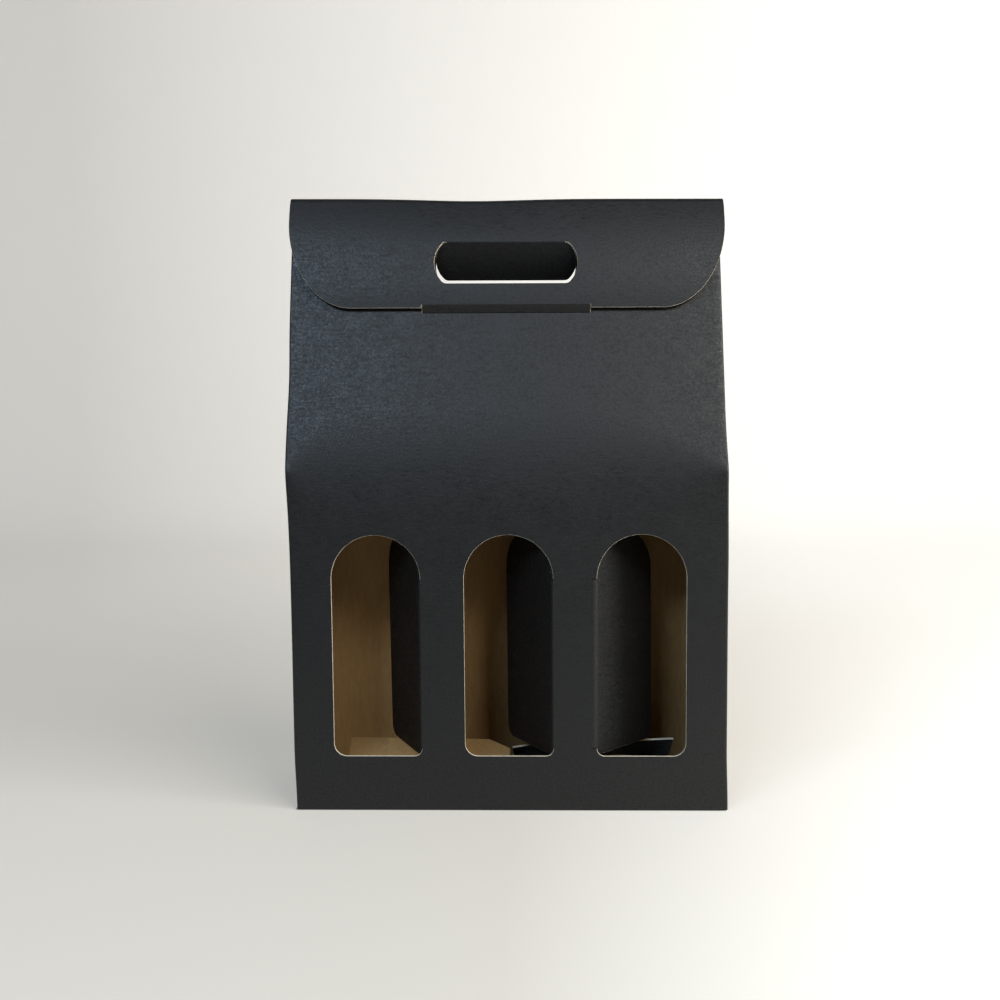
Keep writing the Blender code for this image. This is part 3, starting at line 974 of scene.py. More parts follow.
def shade_dulled_paper(board):
    """The same black paper, duller and less glossy, on the folded-in pieces that lie in shade: painted shade
    that darkens them.
    """
    return black_paper(board, "shade_dulled_paper", gloss=0.25, shade_matt=0.12)


def kraft_paper(board):
    """Unbleached kraft: fine streaks along the machine direction, specks and a soft cloudiness."""
    nodes = Nodes("kraft_paper")
    streak = nodes.noise(nodes.place((1.0, 1.0, 0.22)), 420.0, 5.0, 0.6, 0.4)
    cloud = nodes.noise(nodes.place(), 26.0, 3.0, 0.5)
    speck = nodes.noise(nodes.place(), 900.0, 2.0, 0.5)
    kraft = board.kraft
    tone = nodes.stain(scaled(kraft, 0.86), streak, 0.3, 0.7, 1.0, scaled(kraft, 1.13))
    tone = nodes.stain(tone, cloud, 0.3, 0.7, 0.5, scaled(kraft, 0.9))
    tone = nodes.stain(tone, speck, 0.66, 0.74, 0.5, scaled(kraft, 0.6))
    nodes.link(tone, nodes.shader.inputs["Base Color"])
    nodes.link(nodes.range(streak, 0.3, 0.7, 0.9, 0.74), nodes.shader.inputs["Roughness"])
    nodes.bump(streak, 0.3, 0.0002)
    nodes.shader.inputs["Specular IOR Level"].default_value = 0.3
    return nodes.material


def cut_core(board):
    """The core at a cut edge: pale torn fibres, darker where the black face has been dragged over them."""
    nodes = Nodes("cut_core")
    fibre = nodes.noise(nodes.place(), 1400.0, 4.0, 0.65, 0.8)
    drag = nodes.noise(nodes.place(), 210.0, 3.0, 0.6)
    cut = board.cut
    tone = nodes.stain(scaled(cut, 0.72), fibre, 0.3, 0.7, 1.0, scaled(cut, 1.25))
    tone = nodes.stain(tone, drag, 0.55, 0.75, 0.6, scaled(cut, 0.3))
    nodes.link(tone, nodes.shader.inputs["Base Color"])
    nodes.link(nodes.range(fibre, 0.3, 0.7, 0.95, 0.8), nodes.shader.inputs["Roughness"])
    nodes.bump(fibre, 0.5, 0.0002)
    nodes.shader.inputs["Specular IOR Level"].default_value = 0.2
    return nodes.material


FINISHES = {"Black face": black_paper, "Kraft face": kraft_paper, "Cut edge": cut_core}


def finish(maker):
    """One of the board's finishes, made the first time it is asked for."""
    if maker.__name__ not in bpy.data.materials:
        maker(bpy.context.scene.wine_box_board)
    return bpy.data.materials[maker.__name__]


# Pieces


def side_pair():
    """The left and right side: name, sign and facing."""
    return (("left", -1, LEFT), ("right", 1, RIGHT))


def foot_rows(board):
    """Grid rows over a wall's foot fold."""
    return [foot_end(board) / 2, 0.0, 0.0004, 0.0008, board.foot]


def shoulder_rows(shoulder, high):
    """Grid rows over the shoulder: close together at the crease, and wider where the board bends softly."""
    steps = (-0.003, -0.002, -0.001, -0.0005, 0.0, 0.0005, 0.001, 0.002, 0.003, 0.0045)
    near = [shoulder + step for step in steps]
    soft = [shoulder + step for step in np.arange(-0.039, 0.0391, 0.003) if abs(step) > 0.0055]
    return near + [row for row in soft if row < high]


def wrap_columns(flat_edge, count=10):
    """Grid columns over the corner folds, on both sides."""
    fine = list(np.linspace(flat_edge, flat_edge + WRAP, count + 1))
    return [-column for column in fine[:-1]] + fine[:-1]


def wall_grid(board, flat_edge, shoulder, top, pitch):
    """Grid columns and rows of the front or back wall."""
    columns = grid_lines(-flat_edge, flat_edge, pitch, wrap_columns(flat_edge))
    return columns, grid_lines(0.004, top, pitch, foot_rows(board) + shoulder_rows(shoulder, top))


def ridge_top():
    """The middle of the ridge fold's top in side view, (depth, height)."""
    return np.array([(SIZE["crease_front"][1] + SIZE["crease_back"][1]) / 2, SIZE["ridge"]])


def hole_along(gable, lean):
    """How far above the shoulder the hand hole's middle lies on a gable panel."""
    height = SIZE["crease_front"][2] - (gable.hole_top + gable.hole_height / 2) * math.cos(gable.flap_lean)
    return (height - SIZE["shoulder"]) / math.cos(lean)


class WINEBOX_OT_front(bpy.types.Operator):
    """Front wall with its three windows, and the gable panel above it, in one sheet"""

    bl_idname = "winebox.front"
    bl_label = "Front wall"

    def execute(self, context):
        scene = context.scene
        board, gable, windows = scene.wine_box_board, scene.wine_box_gable, scene.wine_box_windows
        lean, length = gable.front_lean, gable.front_length
        shape, shoulder = wall_shape(board, FRONT, lean, gable.soft_bend, gable.draw_in, length)
        flat_edge = SIZE["width"] / 2 - board.corner
        wide, top, low = flat_edge + WRAP, shoulder + length, foot_end(board)
        outline = footed(board, wide, flat_edge) + [(wide, top), (-wide, top)]
        holes, hinges = [], []
        for index, side in enumerate(HINGE_SIDES):
            holes.append(window(windows, index - 1, 0.0, side, windows.reaches[index]))
            hinges.append((side, (index - 1) * windows.pitch + side * windows.width / 2))
        handle_room, slot_room = 0.0026, 0.0006
        holes.append(hand_hole(gable, shoulder + hole_along(gable, lean), handle_room))
        left, right = (gable.flap_shift + side * (SIZE["tab_width"] / 2 + slot_room) for side in (-1, 1))
        slot = shoulder + gable.tab_rise
        under, over = slot - 0.0009, slot + 0.0026
        holes.append([(left, under), (right, under), (right, over), (left, over)])

        def folded(across, along):
            beside = any(-SLACK < side * (across - hinge) < 0.006 for side, hinge in hinges)
            on_hinge = beside and along < slot - 0.03
            in_slot = left - SLACK < across < right + SLACK and under - SLACK < along < over + SLACK
            return abs(across) > wide - SLACK or along < low + SLACK or on_hinge or in_slot

        columns, rows = wall_grid(board, flat_edge, shoulder, top, 0.004)
        piece = sheet("front_wall", outline, holes, shape, columns, rows, folded)
        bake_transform(piece)
        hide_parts("front_lower_panel", "front_gable_panel")
        return {"FINISHED"}


class WINEBOX_OT_back(bpy.types.Operator):
    """Back wall and the gable panel above it, with its hand hole"""

    bl_idname = "winebox.back"
    bl_label = "Back wall"

    def execute(self, context):
        board, gable = context.scene.wine_box_board, context.scene.wine_box_gable
        soft_bend, handle_room = 0.030, 0.0004
        shape, shoulder = wall_shape(board, BACK, gable.back_lean, soft_bend)
        flat_edge = SIZE["width"] / 2 - board.corner
        wide, top, low = flat_edge + WRAP, shoulder + BACK_RUN, foot_end(board)
        outline = footed(board, wide, flat_edge) + [(wide, top), (-wide, top)]
        hole = hand_hole(gable, shoulder + hole_along(gable, gable.back_lean), handle_room)

        def folded(across, along):
            return abs(across) > wide - SLACK or along < low + SLACK or along > top - SLACK

        columns, rows = wall_grid(board, flat_edge, shoulder, top, 0.005)
        piece = sheet("back_wall", outline, [hole], shape, columns, rows, folded)
        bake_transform(piece)
        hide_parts("back_lower_panel", "back_gable_panel")
        return {"FINISHED"}


class WINEBOX_OT_sides(bpy.types.Operator):
    """Side walls, each with its gusset's centre piece leaning in above it"""

    bl_idname = "winebox.sides"
    bl_label = "Side walls"

    def execute(self, context):
        board, gable = context.scene.wine_box_board, context.scene.wine_box_gable
        half, low = SIZE["depth"] / 2 - board.corner - 0.0008, foot_end(board)
        base, tip = 0.0418, 0.0029  # half the gusset's width at the shoulder and at its top
        for name, _, facing in side_pair():
            shape, shoulder = wall_shape(board, facing, gable.side_lean, 0.0, side=True)
            wall_top, gusset_foot = shoulder - 0.0008, shoulder + 0.0006
            top = shoulder + gable.front_length - GUSSET_GAP
            outline = footed(board, half, half)
            outline += [(half, wall_top), (base, gusset_foot), (tip, top)]
            outline += [(-tip, top), (-base, gusset_foot), (-half, wall_top)]

            def folded(across, along):
                return along < low + SLACK or (abs(across) > tip + SLACK and along > 0.0004)

            columns = grid_lines(-half, half, 0.006)
            near = [shoulder + step for step in (-0.002, -0.001, 0.0, 0.001, 0.002)]
            rows = grid_lines(0.006, top, 0.006, foot_rows(board) + near)
            piece = sheet(f"{name}_wall", outline, [], shape, columns, rows, folded)
            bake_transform(piece)
            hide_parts(f"{name}_side_panel", f"{name}_gusset_centre")
        return {"FINISHED"}


class WINEBOX_OT_gussets(bpy.types.Operator):
    """The gussets' four halves, folded back against the gable panels"""

    bl_idname = "winebox.gussets"
    bl_label = "Gusset halves"

    def execute(self, context):
        board, gable = context.scene.wine_box_board, context.scene.wine_box_gable
        base, top = 0.012, gable.front_length - GUSSET_GAP
        slope = math.tan(gable.side_lean - math.radians(0.7))
        crease_x = SIZE["width"] / 2 - board.thickness / 2
        inside = 2 * board.thickness + 0.0003 - board.thickness / 2
        for end, lean, facing, draw_in in (
            ("front", gable.front_lean, FRONT, gable.draw_in / gable.front_length),
            ("back", gable.back_lean, BACK, 0.0),
        ):
            for name, sign, _ in side_pair():
                turned_sign = sign if end == "front" else -sign
                start = 0.00245 - 0.00075 * sign  # more room on the left, where the side is pinched
                corners = [
                    (crease_x - start - draw_in * base, base),
                    (crease_x - slope * base, base),
                    (crease_x - slope * top, top),
                    (crease_x - start - draw_in * top, top),
                ]
                outline = [(-turned_sign * x, s) for x, s in corners]

                def shape(across, along, lean=lean, facing=facing):
                    inwards = -SIZE["depth"] / 2 + board.thickness / 2 + along * math.sin(lean)
                    inwards = inwards + inside * math.cos(lean)
                    up = SIZE["shoulder"] + along * math.cos(lean) - inside * math.sin(lean)
                    return turned(np.stack([-across, inwards, up], -1), facing)

                def folded(across, along):
                    return base + SLACK < along < top - SLACK

                columns = grid_lines(min(x for x, _ in outline), max(x for x, _ in outline), 0.008)
                rows = grid_lines(base, top, 0.01)
                piece = sheet(f"{name}_gusset_{end}", outline, [], shape, columns, rows, folded)
                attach(piece, f"{name}_gusset_{end}")
                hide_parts(f"{name}_gusset_{end}_half")
        return {"FINISHED"}


def closure_runs(gable):
    """The closure's outer line from the top of the ridge to the flap's foot: where it starts, its first
    heading and its runs. Headings turn from the back (0) over the top to the front."""
    length, bow = gable.flap_length, gable.flap_bow
    chord = length * math.sin(bow / 2) / (bow / 2)
    way = math.radians(270.0) - gable.flap_lean
    foot = np.array(SIZE["crease_front"][1:3]) + length * np.array([math.cos(way), math.sin(way)])
    start = foot - chord * np.array([math.cos(way), math.sin(way)])
    apex = ridge_top()
    turn = way - bow / 2 - math.pi
    across, down = apex[0] - start[0], apex[1] - start[1]
    matrix = np.array([[math.sin(turn), math.cos(turn)], [1.0 - math.cos(turn), math.sin(turn)]])
    radius, straight = np.linalg.solve(matrix, [across, down])
    return apex, math.pi, [(radius * turn, turn), (straight, 0.0), (length, bow)]


def line_shape(start, heading, runs, shift):
    """Outer face points for a piece bent along a line in side view. Its along coordinate runs backwards,
    so that the outer face looks outwards."""

    def shape(across, along):
        place, _ = folded_line(start, heading, runs, -along)
        return np.stack([across + shift, place[..., 0], place[..., 1]], -1)

    return shape


class WINEBOX_OT_closure(bpy.types.Operator):
    """Ridge fold and closure flap, with round corners and the hand hole"""

    bl_idname = "winebox.closure"
    bl_label = "Closure"

    def execute(self, context):
        gable = context.scene.wine_box_gable
        apex, heading, runs = closure_runs(gable)
        crease = runs[0][0] + runs[1][0]
        length = crease + gable.flap_length
        shape = line_shape(apex, heading, runs, gable.flap_shift)
        half = (SIZE["flap_width"] + gable.flap_spread) / 2
        corner, rise = gable.flap_corner, gable.flap_corner_rise
        outline = [(half - 0.0004, 0.0), (0.0004 - half, 0.0), (-half, -crease)]
        outline += arc((corner - half, rise - length), (corner, rise), math.pi, 1.5 * math.pi, 26)
        bevel = 0.00007
        tab, root = SIZE["tab_width"] / 2 + 0.0003, gable.tab_root - length
        outline += [(-tab, -length), (-tab, root), (tab, root), (tab, -length)]
        outline += arc((half - corner, rise - length), (corner, rise), 1.5 * math.pi, 2 * math.pi, 26)
        outline += [(half, -crease)]
        hole = hand_hole(gable, -crease - gable.hole_top - gable.hole_height / 2)
        top = -crease - gable.hole_top

        def folded(across, along):
            on_tab = abs(across) < tab - SLACK and along < root + SLACK
            on_handle = abs(along - top) < 10 * SLACK
            return along > -SLACK or on_tab or on_handle

        columns = grid_lines(-half, half, 0.004)
        bend = [-step for step in np.arange(0.0, crease, 0.0006)]
        rows = grid_lines(-length, -crease, 0.004, bend + [-crease])
        piece = sheet("closure", outline, [hole], shape, columns, rows, folded, bevel)
        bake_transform(piece)
        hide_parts("closure_flap")
        return {"FINISHED"}


class WINEBOX_OT_ridge(bpy.types.Operator):
    """The back half of the ridge fold, bent from the back gable panel over to the ridge's top"""

    bl_idname = "winebox.ridge"
    bl_label = "Ridge"

    def execute(self, context):
        board, gable = context.scene.wine_box_board, context.scene.wine_box_gable
        lean = gable.back_lean
        shoulder, reach = shoulder_of(board, lean), SIZE["depth"] / 2
        start = np.array([-reach + BACK_RUN * math.sin(lean), shoulder + BACK_RUN * math.cos(lean)])
        turn = math.pi / 2 - lean
        across, up = ridge_top() * (-1.0, 1.0) - start
        matrix = np.array([[math.sin(lean), 1.0 - math.cos(turn)], [math.cos(lean), math.sin(turn)]])
        straight, radius = np.linalg.solve(matrix, [across, up])
        runs = [(straight, 0.0), (radius * turn, -turn)]
        length = straight + radius * turn

        def shape(along_x, along):
            place, _ = folded_line(start, math.pi / 2 - lean, runs, along)
            return turned(np.stack([along_x - gable.flap_shift, place[..., 0], place[..., 1]], -1), BACK)

        half = (SIZE["flap_width"] + gable.flap_spread) / 2 - 0.0003
        outline = [(-half, 0.0), (half, 0.0), (half, length), (-half, length)]

        def folded(across, along):
            return along < SLACK or along > length - SLACK

        rows = grid_lines(0.0, straight, 0.003, list(np.linspace(straight, length, 12)))
        piece = sheet("ridge", outline, [], shape, grid_lines(-half, half, 0.008), rows, folded)
        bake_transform(piece)
        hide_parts("ridge_fold")
        return {"FINISHED"}


class WINEBOX_OT_handle(bpy.types.Operator):
    """The hand hole's own cut-out, folded in from the hole's top edge"""

    bl_idname = "winebox.handle"
    bl_label = "Handle flap"

    def execute(self, context):
        board, gable = context.scene.wine_box_board, context.scene.wine_box_gable
        apex, heading, runs = closure_runs(gable)
        crease = runs[0][0] + runs[1][0]
        place, way = folded_line(apex, heading, runs, np.array([crease + gable.hole_top]))
        target = math.radians(270.0) - gable.flap_lean + gable.handle_fold
        turn = target - float(way[0])
        fold = (board.thickness + 0.0001) * turn
        kerf = context.scene.wine_box_windows.kerf
        outline = hand_hole(gable, -gable.hole_height / 2, -kerf)
        end = gable.hole_end - kerf
        sweep = math.asin((gable.hole_height / 2 - kerf) / end)
        straight = gable.hole_width / 2 - gable.hole_end + end * math.cos(sweep)
        reach = straight - 0.0012
        top = max(s for _, s in outline)
        hinge = [(reach, top), (reach, 0.0), (-reach, 0.0), (-reach, top)]
        count = len(outline) // 2
        outline = outline[:count] + hinge + outline[count:]
        shape = line_shape(place[0], float(way[0]), [(fold, turn), (0.05, 0.0)], gable.flap_shift)

        def folded(across, along):
            return along > -SLACK

        rows = grid_lines(-gable.hole_height, -fold, 0.003, [-fold * step / 7 for step in range(8)])
        columns = grid_lines(-0.045, 0.045, 0.005)
        # The handle flap lies in shade and takes the duller black paper, as painted shade.
        piece = sheet("handle", outline, [], shape, columns, rows, folded, shade_matt=True)
        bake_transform(piece)
        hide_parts("handle_flap")
        return {"FINISHED"}


class WINEBOX_OT_tab(bpy.types.Operator):
    """The tuck tab, rolled in at the flap's foot and pushed through the slot"""

    bl_idname = "winebox.tab"
    bl_label = "Tuck tab"

    def execute(self, context):
        board, gable = context.scene.wine_box_board, context.scene.wine_box_gable
        apex, heading, runs = closure_runs(gable)
        total = sum(length for length, _ in runs)
        place, way = folded_line(apex, heading, runs, np.array([total - gable.tab_root]))
        root, way = place[0], float(way[0])
        lean = gable.front_lean
        gate = np.array([-SIZE["depth"] / 2, shoulder_of(board, lean)])
        gate = gate + (gable.tab_rise - 0.0004) * np.array([math.sin(lean), math.cos(lean)])
        radius, ahead = board.thickness + 0.0002, way + 0.7
        for _ in range(12):  # the fold and the straight run after it are made to meet the slot
            turned_way = np.array([math.sin(ahead) - math.sin(way), math.cos(way) - math.cos(ahead)])
            span = gate - (root + radius * turned_way)
            ahead = 2 * math.pi + math.atan2(span[1], span[0])
        fold = radius * (ahead - way)
        straight = float(np.linalg.norm(span))
        turn = 2 * math.pi - lean - ahead
        roll = 2 * radius * turn
        runs = [(fold, ahead - way), (straight, 0.0), (roll, turn), (0.010, 0.0)]
        length = sum(run for run, _ in runs)
        half, chamfer, bevel = SIZE["tab_width"] / 2, 0.004, 0.00015
        outline = [(-half, 0.0), (-half, chamfer - length), (chamfer - half, -length)]
        outline += [(half - chamfer, -length), (half, chamfer - length), (half, 0.0)]

        def folded(across, along):
            return along > -SLACK

        bends = [*np.linspace(-fold, 0.0, 8), *np.linspace(-fold - straight - roll, -fold - straight, 8)]
        columns, rows = grid_lines(-half, half, 0.006), grid_lines(-length, -fold, 0.002, bends)
        shape = line_shape(root, way, runs, gable.flap_shift)
        piece = sheet("tuck_tab_board", outline, [], shape, columns, rows, folded, bevel)
        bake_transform(piece)
        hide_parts("tuck_tab")
        return {"FINISHED"}


class WINEBOX_OT_dividers(bpy.types.Operator):
    """The window cut-outs, folded in to part the bottles"""

    bl_idname = "winebox.dividers"
    bl_label = "Dividers"

    def execute(self, context):
        windows, front = context.scene.wine_box_windows, -SIZE["depth"] / 2
        middle, tall = (windows.bottom + WINDOW_TOP) / 2, WINDOW_TOP - windows.bottom
        for index, side in enumerate(HINGE_SIDES):
            reach = windows.reaches[index]
            centre = (index - 1) * windows.pitch
            hinge = centre + side * (windows.width / 2 + reach)
            radius, angle, twist = windows.folds[index], windows.angles[index], windows.twists[index]
            outline = [(x - hinge, s) for x, s in window(windows, index - 1, -windows.kerf, side, reach)]

            def shape(across, along):
                distance = np.abs(across)
                fold = angle + twist * (middle - along) / tall
                swept = np.minimum(distance / radius, fold)
                rest = np.clip(distance - radius * fold, 0.0, None)
                to_side = radius * np.sin(swept) + rest * np.cos(swept)
                inwards = radius * (1.0 - np.cos(swept)) + rest * np.sin(swept) + front
                return np.stack([hinge - side * to_side, inwards, along], -1)

            def folded(across, along):
                return abs(across) < reach + 0.0035

            steps = [-side * radius * angle * step / 9 for step in range(10)]
            low, high = min(x for x, _ in outline), max(x for x, _ in outline)
            columns = grid_lines(low, high, 0.005, steps)
            rows = grid_lines(windows.bottom, WINDOW_TOP, 0.006)
            name = DIVIDER_NAMES[index]
            # The left and middle dividers lie in shade and take the duller black paper, as painted shade.
            piece = sheet(f"{name}_board", outline, [], shape, columns, rows, folded, shade_matt=side > 0)
            start, end = (hinge, front, 0.0), (hinge - side * 0.0012, front + radius, 0.0)
            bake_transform(piece)
            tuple(start)
            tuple(end)
            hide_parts(name)
        return {"FINISHED"}


class WINEBOX_OT_base(bpy.types.Operator):
    """The self-locking base: two long flaps with a notch, two side flaps and their glue tabs"""

    bl_idname = "winebox.base"
    bl_label = "Base"

    def execute(self, context):
        thickness = context.scene.wine_box_board.thickness
        lap = thickness + 0.0003
        wall_x, wall_y = SIZE["width"] / 2 - thickness / 2, SIZE["depth"] / 2 - thickness / 2

        def plate(reach, level, facing, spring):
            """A flap sprung up from the foot of a wall, a level above the plane through its crease."""

            def shape(across, along):
                raised = level(across, along) - thickness / 2
                rise = np.radians(spring(across))
                inwards = -reach + along * np.cos(rise) - raised * np.sin(rise)
                up = thickness / 2 + along * np.sin(rise) + raised * np.cos(rise)
                return turned(np.stack([-across, inwards, up], -1), facing)

            return shape

        def long_level(across, along):
            return lap * ease((across + notch) / (2 * notch)) * ease((along + 0.0005) / 0.004)

        def front_spring(across):
            return 28.8 + 20.0 * np.clip(across, 0.0, 1.0) + 1.2 * hump(across, -0.063, 0.014)

        def back_spring(across):
            step = ease((across + notch) / (2 * notch))
            return 28.6 + 0.5 * step + 39.5 * np.clip(across, 0.0, 1.0)

        def side_spring(across):
            return np.full(np.shape(across), 29.5)

        def side_level(across, along):
            return np.full(np.shape(across), lap)

        def tab_level(across, along):
            return np.zeros(np.shape(across))

        free, crease_x, notch, deep, shallow = 0.1064, 0.1336, 0.0008, 0.058, 0.045
        outline = [(free, 0.0030), (free, deep), (0.0146, deep), (notch, 0.050), (notch, 0.024)]
        outline += [(-notch, 0.024), (-notch, shallow), (shallow - crease_x, shallow)]
        outline += [(0.0011 - crease_x, 0.0011), (-0.1315, 0.0008), (free - 0.002, 0.0008)]

        def long_folded(across, along):
            return along < 0.0009

        columns = grid_lines(-0.133, 0.107, 0.006, [-notch, -0.0004, 0.0, 0.0004, notch])
        rows = grid_lines(0.0008, deep, 0.005, [0.0015, 0.0023, 0.003])
        for end, facing, spring in (("front", FRONT, front_spring), ("back", BACK, back_spring)):
            shape = plate(wall_y, long_level, facing, spring)
            piece = sheet(f"base_{end}", outline, [], shape, columns, rows, long_folded)
            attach(piece, f"base_{end}")
            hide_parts(f"base_{end}_flap")
        near, far = 0.0024, 0.0262
        reach = SIZE["depth"] / 2 - 2 * lap - 0.0003
        tip = reach - (far - near)
        side_flap = [(-reach, near), (reach, near), (tip, far), (-tip, far)]
        corner, tab_near, tab_far, tab_end = -wall_y + 0.0008, 0.0015, 0.0242, 0.038
        glue_tab = [(-corner - tab_near, tab_near), (-corner - tab_end, tab_near)]
        glue_tab += [(-corner - tab_end, tab_far), (-corner - tab_far, tab_far)]
        columns, rows = grid_lines(-0.045, 0.045, 0.006), grid_lines(0.0, 0.027, 0.005)
        for name, _, facing in side_pair():
            for kind, outline, level in (("flap", side_flap, side_level), ("glue_tab", glue_tab, tab_level)):
                shape = plate(wall_x, level, facing, side_spring)
                piece = sheet(f"base_{name}_{kind}_board", outline, [], shape, columns, rows)
                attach(piece, f"base_{name}")
                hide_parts(f"base_{name}_{kind}")
        return {"FINISHED"}


class WINEBOX_OT_seam(bpy.types.Operator):
    """The flap that is glued inside the back right corner"""

    bl_idname = "winebox.seam"
    bl_label = "Glued seam"

    def execute(self, context):
        low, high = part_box("glue_seam_flap")

        def shape(across, along):
            return np.stack([-across, np.full(np.shape(across), high.y), along], -1)

        def folded(across, along):
            return across < SLACK - high.x

        tip = 0.003
        outline = [(-high.x, low.z), (-low.x, low.z + tip), (-low.x, high.z - tip), (-high.x, high.z)]
        columns, rows = grid_lines(-high.x, -low.x, 0.006), grid_lines(low.z, high.z, 0.006)
        piece = sheet("glued_seam", outline, [], shape, columns, rows, folded)
        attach(piece, "lower_box")
        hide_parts("glue_seam_flap")
        return {"FINISHED"}


class WINEBOX_OT_stage(bpy.types.Operator):
    """Floor, backdrop, lamps and camera"""

    bl_idname = "winebox.stage"
    bl_label = "Stage"

    def execute(self, context):
        scene = context.scene
        stage = scene.wine_box_stage
        backdrop(stage)
        warm, cool = (1.0, 0.985, 0.95), (0.62, 0.80, 1.0)
        lamp("key_lamp", (0.902, -1.154, 1.133), (1.10, 0.36), stage.key, warm)
        lamp("side_lamp", (1.41, -0.52, 0.62), (0.50, 0.50), stage.side, warm)
        lamp("fill_lamp", (-0.688, -1.293, 1.133), (1.05, 0.34), stage.fill, cool)
        room(scene, stage)
        data = bpy.data.cameras.new("camera")
        data.sensor_width = 36.0
        data.lens = stage.lens
        data.clip_start = 0.01
        camera = bpy.data.objects.new("camera", data)
        scene.collection.objects.link(camera)
        pitch, roll, yaw = stage.camera_turn
        turn = Matrix.Rotation(yaw, 4, "Z") @ Matrix.Rotation(pitch, 4, "X") @ Matrix.Rotation(roll, 4, "Y")
        upright = Matrix.Rotation(math.pi / 2, 4, "X")
        camera.matrix_world = Matrix.Translation(stage.camera_place) @ turn @ upright
        scene.camera = camera
        scene.view_settings.view_transform = "Standard"
        return {"FINISHED"}


def lamp(name, place, size, power, colour):
    """A large soft lamp that looks at the carton's middle."""
    data = bpy.data.lights.new(name, "AREA")
    data.shape = "RECTANGLE"
    data.size, data.size_y = size
    data.energy = power
    data.color = colour
    item = bpy.data.objects.new(name, data)
    item.location = place
    item.rotation_euler = (Vector((0.0, 0.0, 0.2)) - Vector(place)).to_track_quat("-Z", "Y").to_euler()
    bpy.context.scene.collection.objects.link(item)


def bowl():
    """The backdrop's mesh: a floor that curves up all round, as an oval bowl."""
    centre, reach = (0.0, -1.1), (3.5, 2.3)
    runs = [(1.0, 0.0), (0.9, math.pi / 2), (3.0, 0.0)]
    places = np.array([0.0, 0.25, 0.5, 0.75, 1.0, *np.linspace(1.1, 1.9, 9), 3.0, 4.9])
    line, _ = folded_line((-1.0, 0.0), 0.0, runs, places)
    turns = np.linspace(0.0, 2 * math.pi, 73)[:-1]
    points, faces = [(centre[0], centre[1], 0.0)], []
    for out, height in line[1:]:
        share, grow = min(1.0, 1.0 + out), max(0.0, out)
        for turn in turns:
            x = centre[0] + (reach[0] * share + grow) * math.cos(turn)
            y = centre[1] + (reach[1] * share + grow) * math.sin(turn)
            points.append((x, y, height))
    count = len(turns)
    for step in range(count):
        ahead = (step + 1) % count
        faces.append((0, 1 + step, 1 + ahead))
        for ring in range(len(line) - 2):
            low, high = 1 + ring * count, 1 + (ring + 1) * count
            faces.append((low + step, high + step, high + ahead, low + ahead))
    mesh = bpy.data.meshes.new("backdrop")
    mesh.from_pydata(points, [], faces)
    mesh.shade_smooth()
    return mesh


def bowl_paint(stage):
    """The backdrop's finish: its tone runs from shade on the left to light on the right, and it is pale by
    itself wherever the camera sees it, also through gloss and glass, apart from the floor under the carton.
    Its front is dark in reflections."""
    nodes = Nodes("backdrop")
    coordinates = nodes.add("ShaderNodeTexCoord")
    parts = nodes.add("ShaderNodeSeparateXYZ")
    nodes.link(coordinates.outputs["Object"], parts.inputs["Vector"])
    rays = nodes.add("ShaderNodeLightPath")
    x, y, glossy = parts.outputs["X"], parts.outputs["Y"], rays.outputs["Is Glossy Ray"]
    side = nodes.maths("DIVIDE", x, nodes.maths("MAXIMUM", nodes.maths("ADD", y, 1.0), 0.35))
    rise = nodes.range(y, 0.1, 1.4, 0.0, 1.0)
    low = nodes.stain(scaled(stage.floor, 0.645), side, 0.0, 0.36, 1.0, scaled(stage.wall, 0.83))
    high = nodes.stain(scaled(stage.wall, 0.60), side, -0.34, 0.20, 1.0, scaled(stage.wall, 1.0))
    tone = nodes.mix(rise, low, high)
    near = nodes.range(y, -0.54, -0.22, 0.0, 1.0)
    mirrored = nodes.maths("MULTIPLY", glossy, nodes.maths("SUBTRACT", 1.0, near))
    tone = nodes.mix(nodes.maths("MULTIPLY", mirrored, 0.6), tone, (0.08, 0.08, 0.08))
    nodes.link(tone, nodes.shader.inputs["Base Color"])
    nodes.shader.inputs["Roughness"].default_value = 0.9
    nodes.shader.inputs["Specular IOR Level"].default_value = 0.1
    seen = nodes.maths("MAXIMUM", rays.outputs["Is Camera Ray"], rays.outputs["Is Transmission Ray"])
    seen = nodes.maths("MAXIMUM", seen, nodes.maths("MULTIPLY", glossy, near))
    beside = nodes.maths("GREATER_THAN", nodes.maths("ABSOLUTE", x, 0.0), SIZE["width"] / 2)
    beyond = nodes.maths("GREATER_THAN", nodes.maths("ABSOLUTE", y, 0.0), SIZE["depth"] / 2)
    seen = nodes.maths("MULTIPLY", seen, nodes.maths("MAXIMUM", beside, beyond))
    nodes.link(tone, nodes.shader.inputs["Emission Color"])
    nodes.link(nodes.maths("MULTIPLY", seen, 0.56), nodes.shader.inputs["Emission Strength"])
    return nodes.material


def backdrop(stage):
    """Floor and backdrop in one."""
    mesh = bowl()
    item = bpy.data.objects.new("backdrop", mesh)
    bpy.context.scene.collection.objects.link(item)
    mesh.materials.append(bowl_paint(stage))


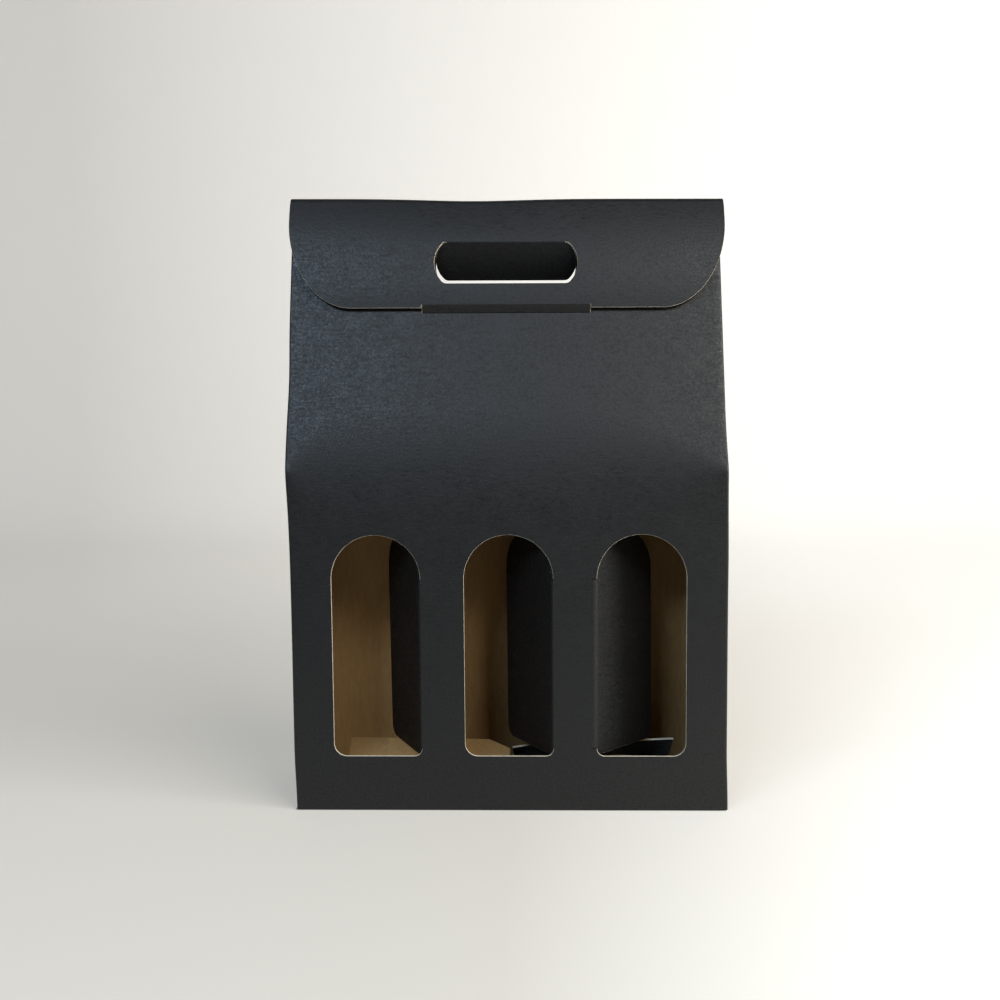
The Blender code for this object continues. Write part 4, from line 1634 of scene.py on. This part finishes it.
def room(scene, stage):
    """Pale light from all round."""
    world = bpy.data.worlds.new("room")
    scene.world = world
    world.use_nodes = True
    background = world.node_tree.nodes["Background"]
    background.inputs["Color"].default_value = (0.93, 0.96, 1.0, 1.0)
    background.inputs["Strength"].default_value = stage.room


class WINEBOX_PT_panel(bpy.types.Panel):
    """Lists the carton's pieces"""

    bl_idname = "WINEBOX_PT_panel"
    bl_label = "Wine Box"
    bl_space_type = "VIEW_3D"
    bl_region_type = "UI"
    bl_category = "Wine Box"

    def draw(self, context):
        layout = self.layout
        for key, group in GROUPS.items():
            box = layout.box()
            for name in group.__annotations__:
                box.prop(getattr(context.scene, key), name)
        for operator in PIECES:
            layout.operator(operator.bl_idname)


PIECES = (
    WINEBOX_OT_front,
    WINEBOX_OT_back,
    WINEBOX_OT_sides,
    WINEBOX_OT_gussets,
    WINEBOX_OT_ridge,
    WINEBOX_OT_closure,
    WINEBOX_OT_handle,
    WINEBOX_OT_tab,
    WINEBOX_OT_dividers,
    WINEBOX_OT_base,
    WINEBOX_OT_seam,
    WINEBOX_OT_stage,
)


def register():
    """Registers the classes and hangs the settings on the scene."""
    for group in (*GROUPS.values(), *PIECES, WINEBOX_PT_panel):
        bpy.utils.register_class(group)
    for key, group in GROUPS.items():
        setattr(bpy.types.Scene, key, bpy.props.PointerProperty(type=group))


def unregister():
    """Takes back what register did."""
    for key in GROUPS:
        delattr(bpy.types.Scene, key)
    for group in reversed((*GROUPS.values(), *PIECES, WINEBOX_PT_panel)):
        bpy.utils.unregister_class(group)


def main():
    """Makes every piece and the stage."""
    register()
    bpy.ops.winebox.front()
    bpy.ops.winebox.back()
    bpy.ops.winebox.sides()
    bpy.ops.winebox.gussets()
    bpy.ops.winebox.ridge()
    bpy.ops.winebox.closure()
    bpy.ops.winebox.handle()
    bpy.ops.winebox.tab()
    bpy.ops.winebox.dividers()
    bpy.ops.winebox.base()
    bpy.ops.winebox.seam()
    bpy.ops.winebox.stage()


if __name__ == "__main__":
    main()
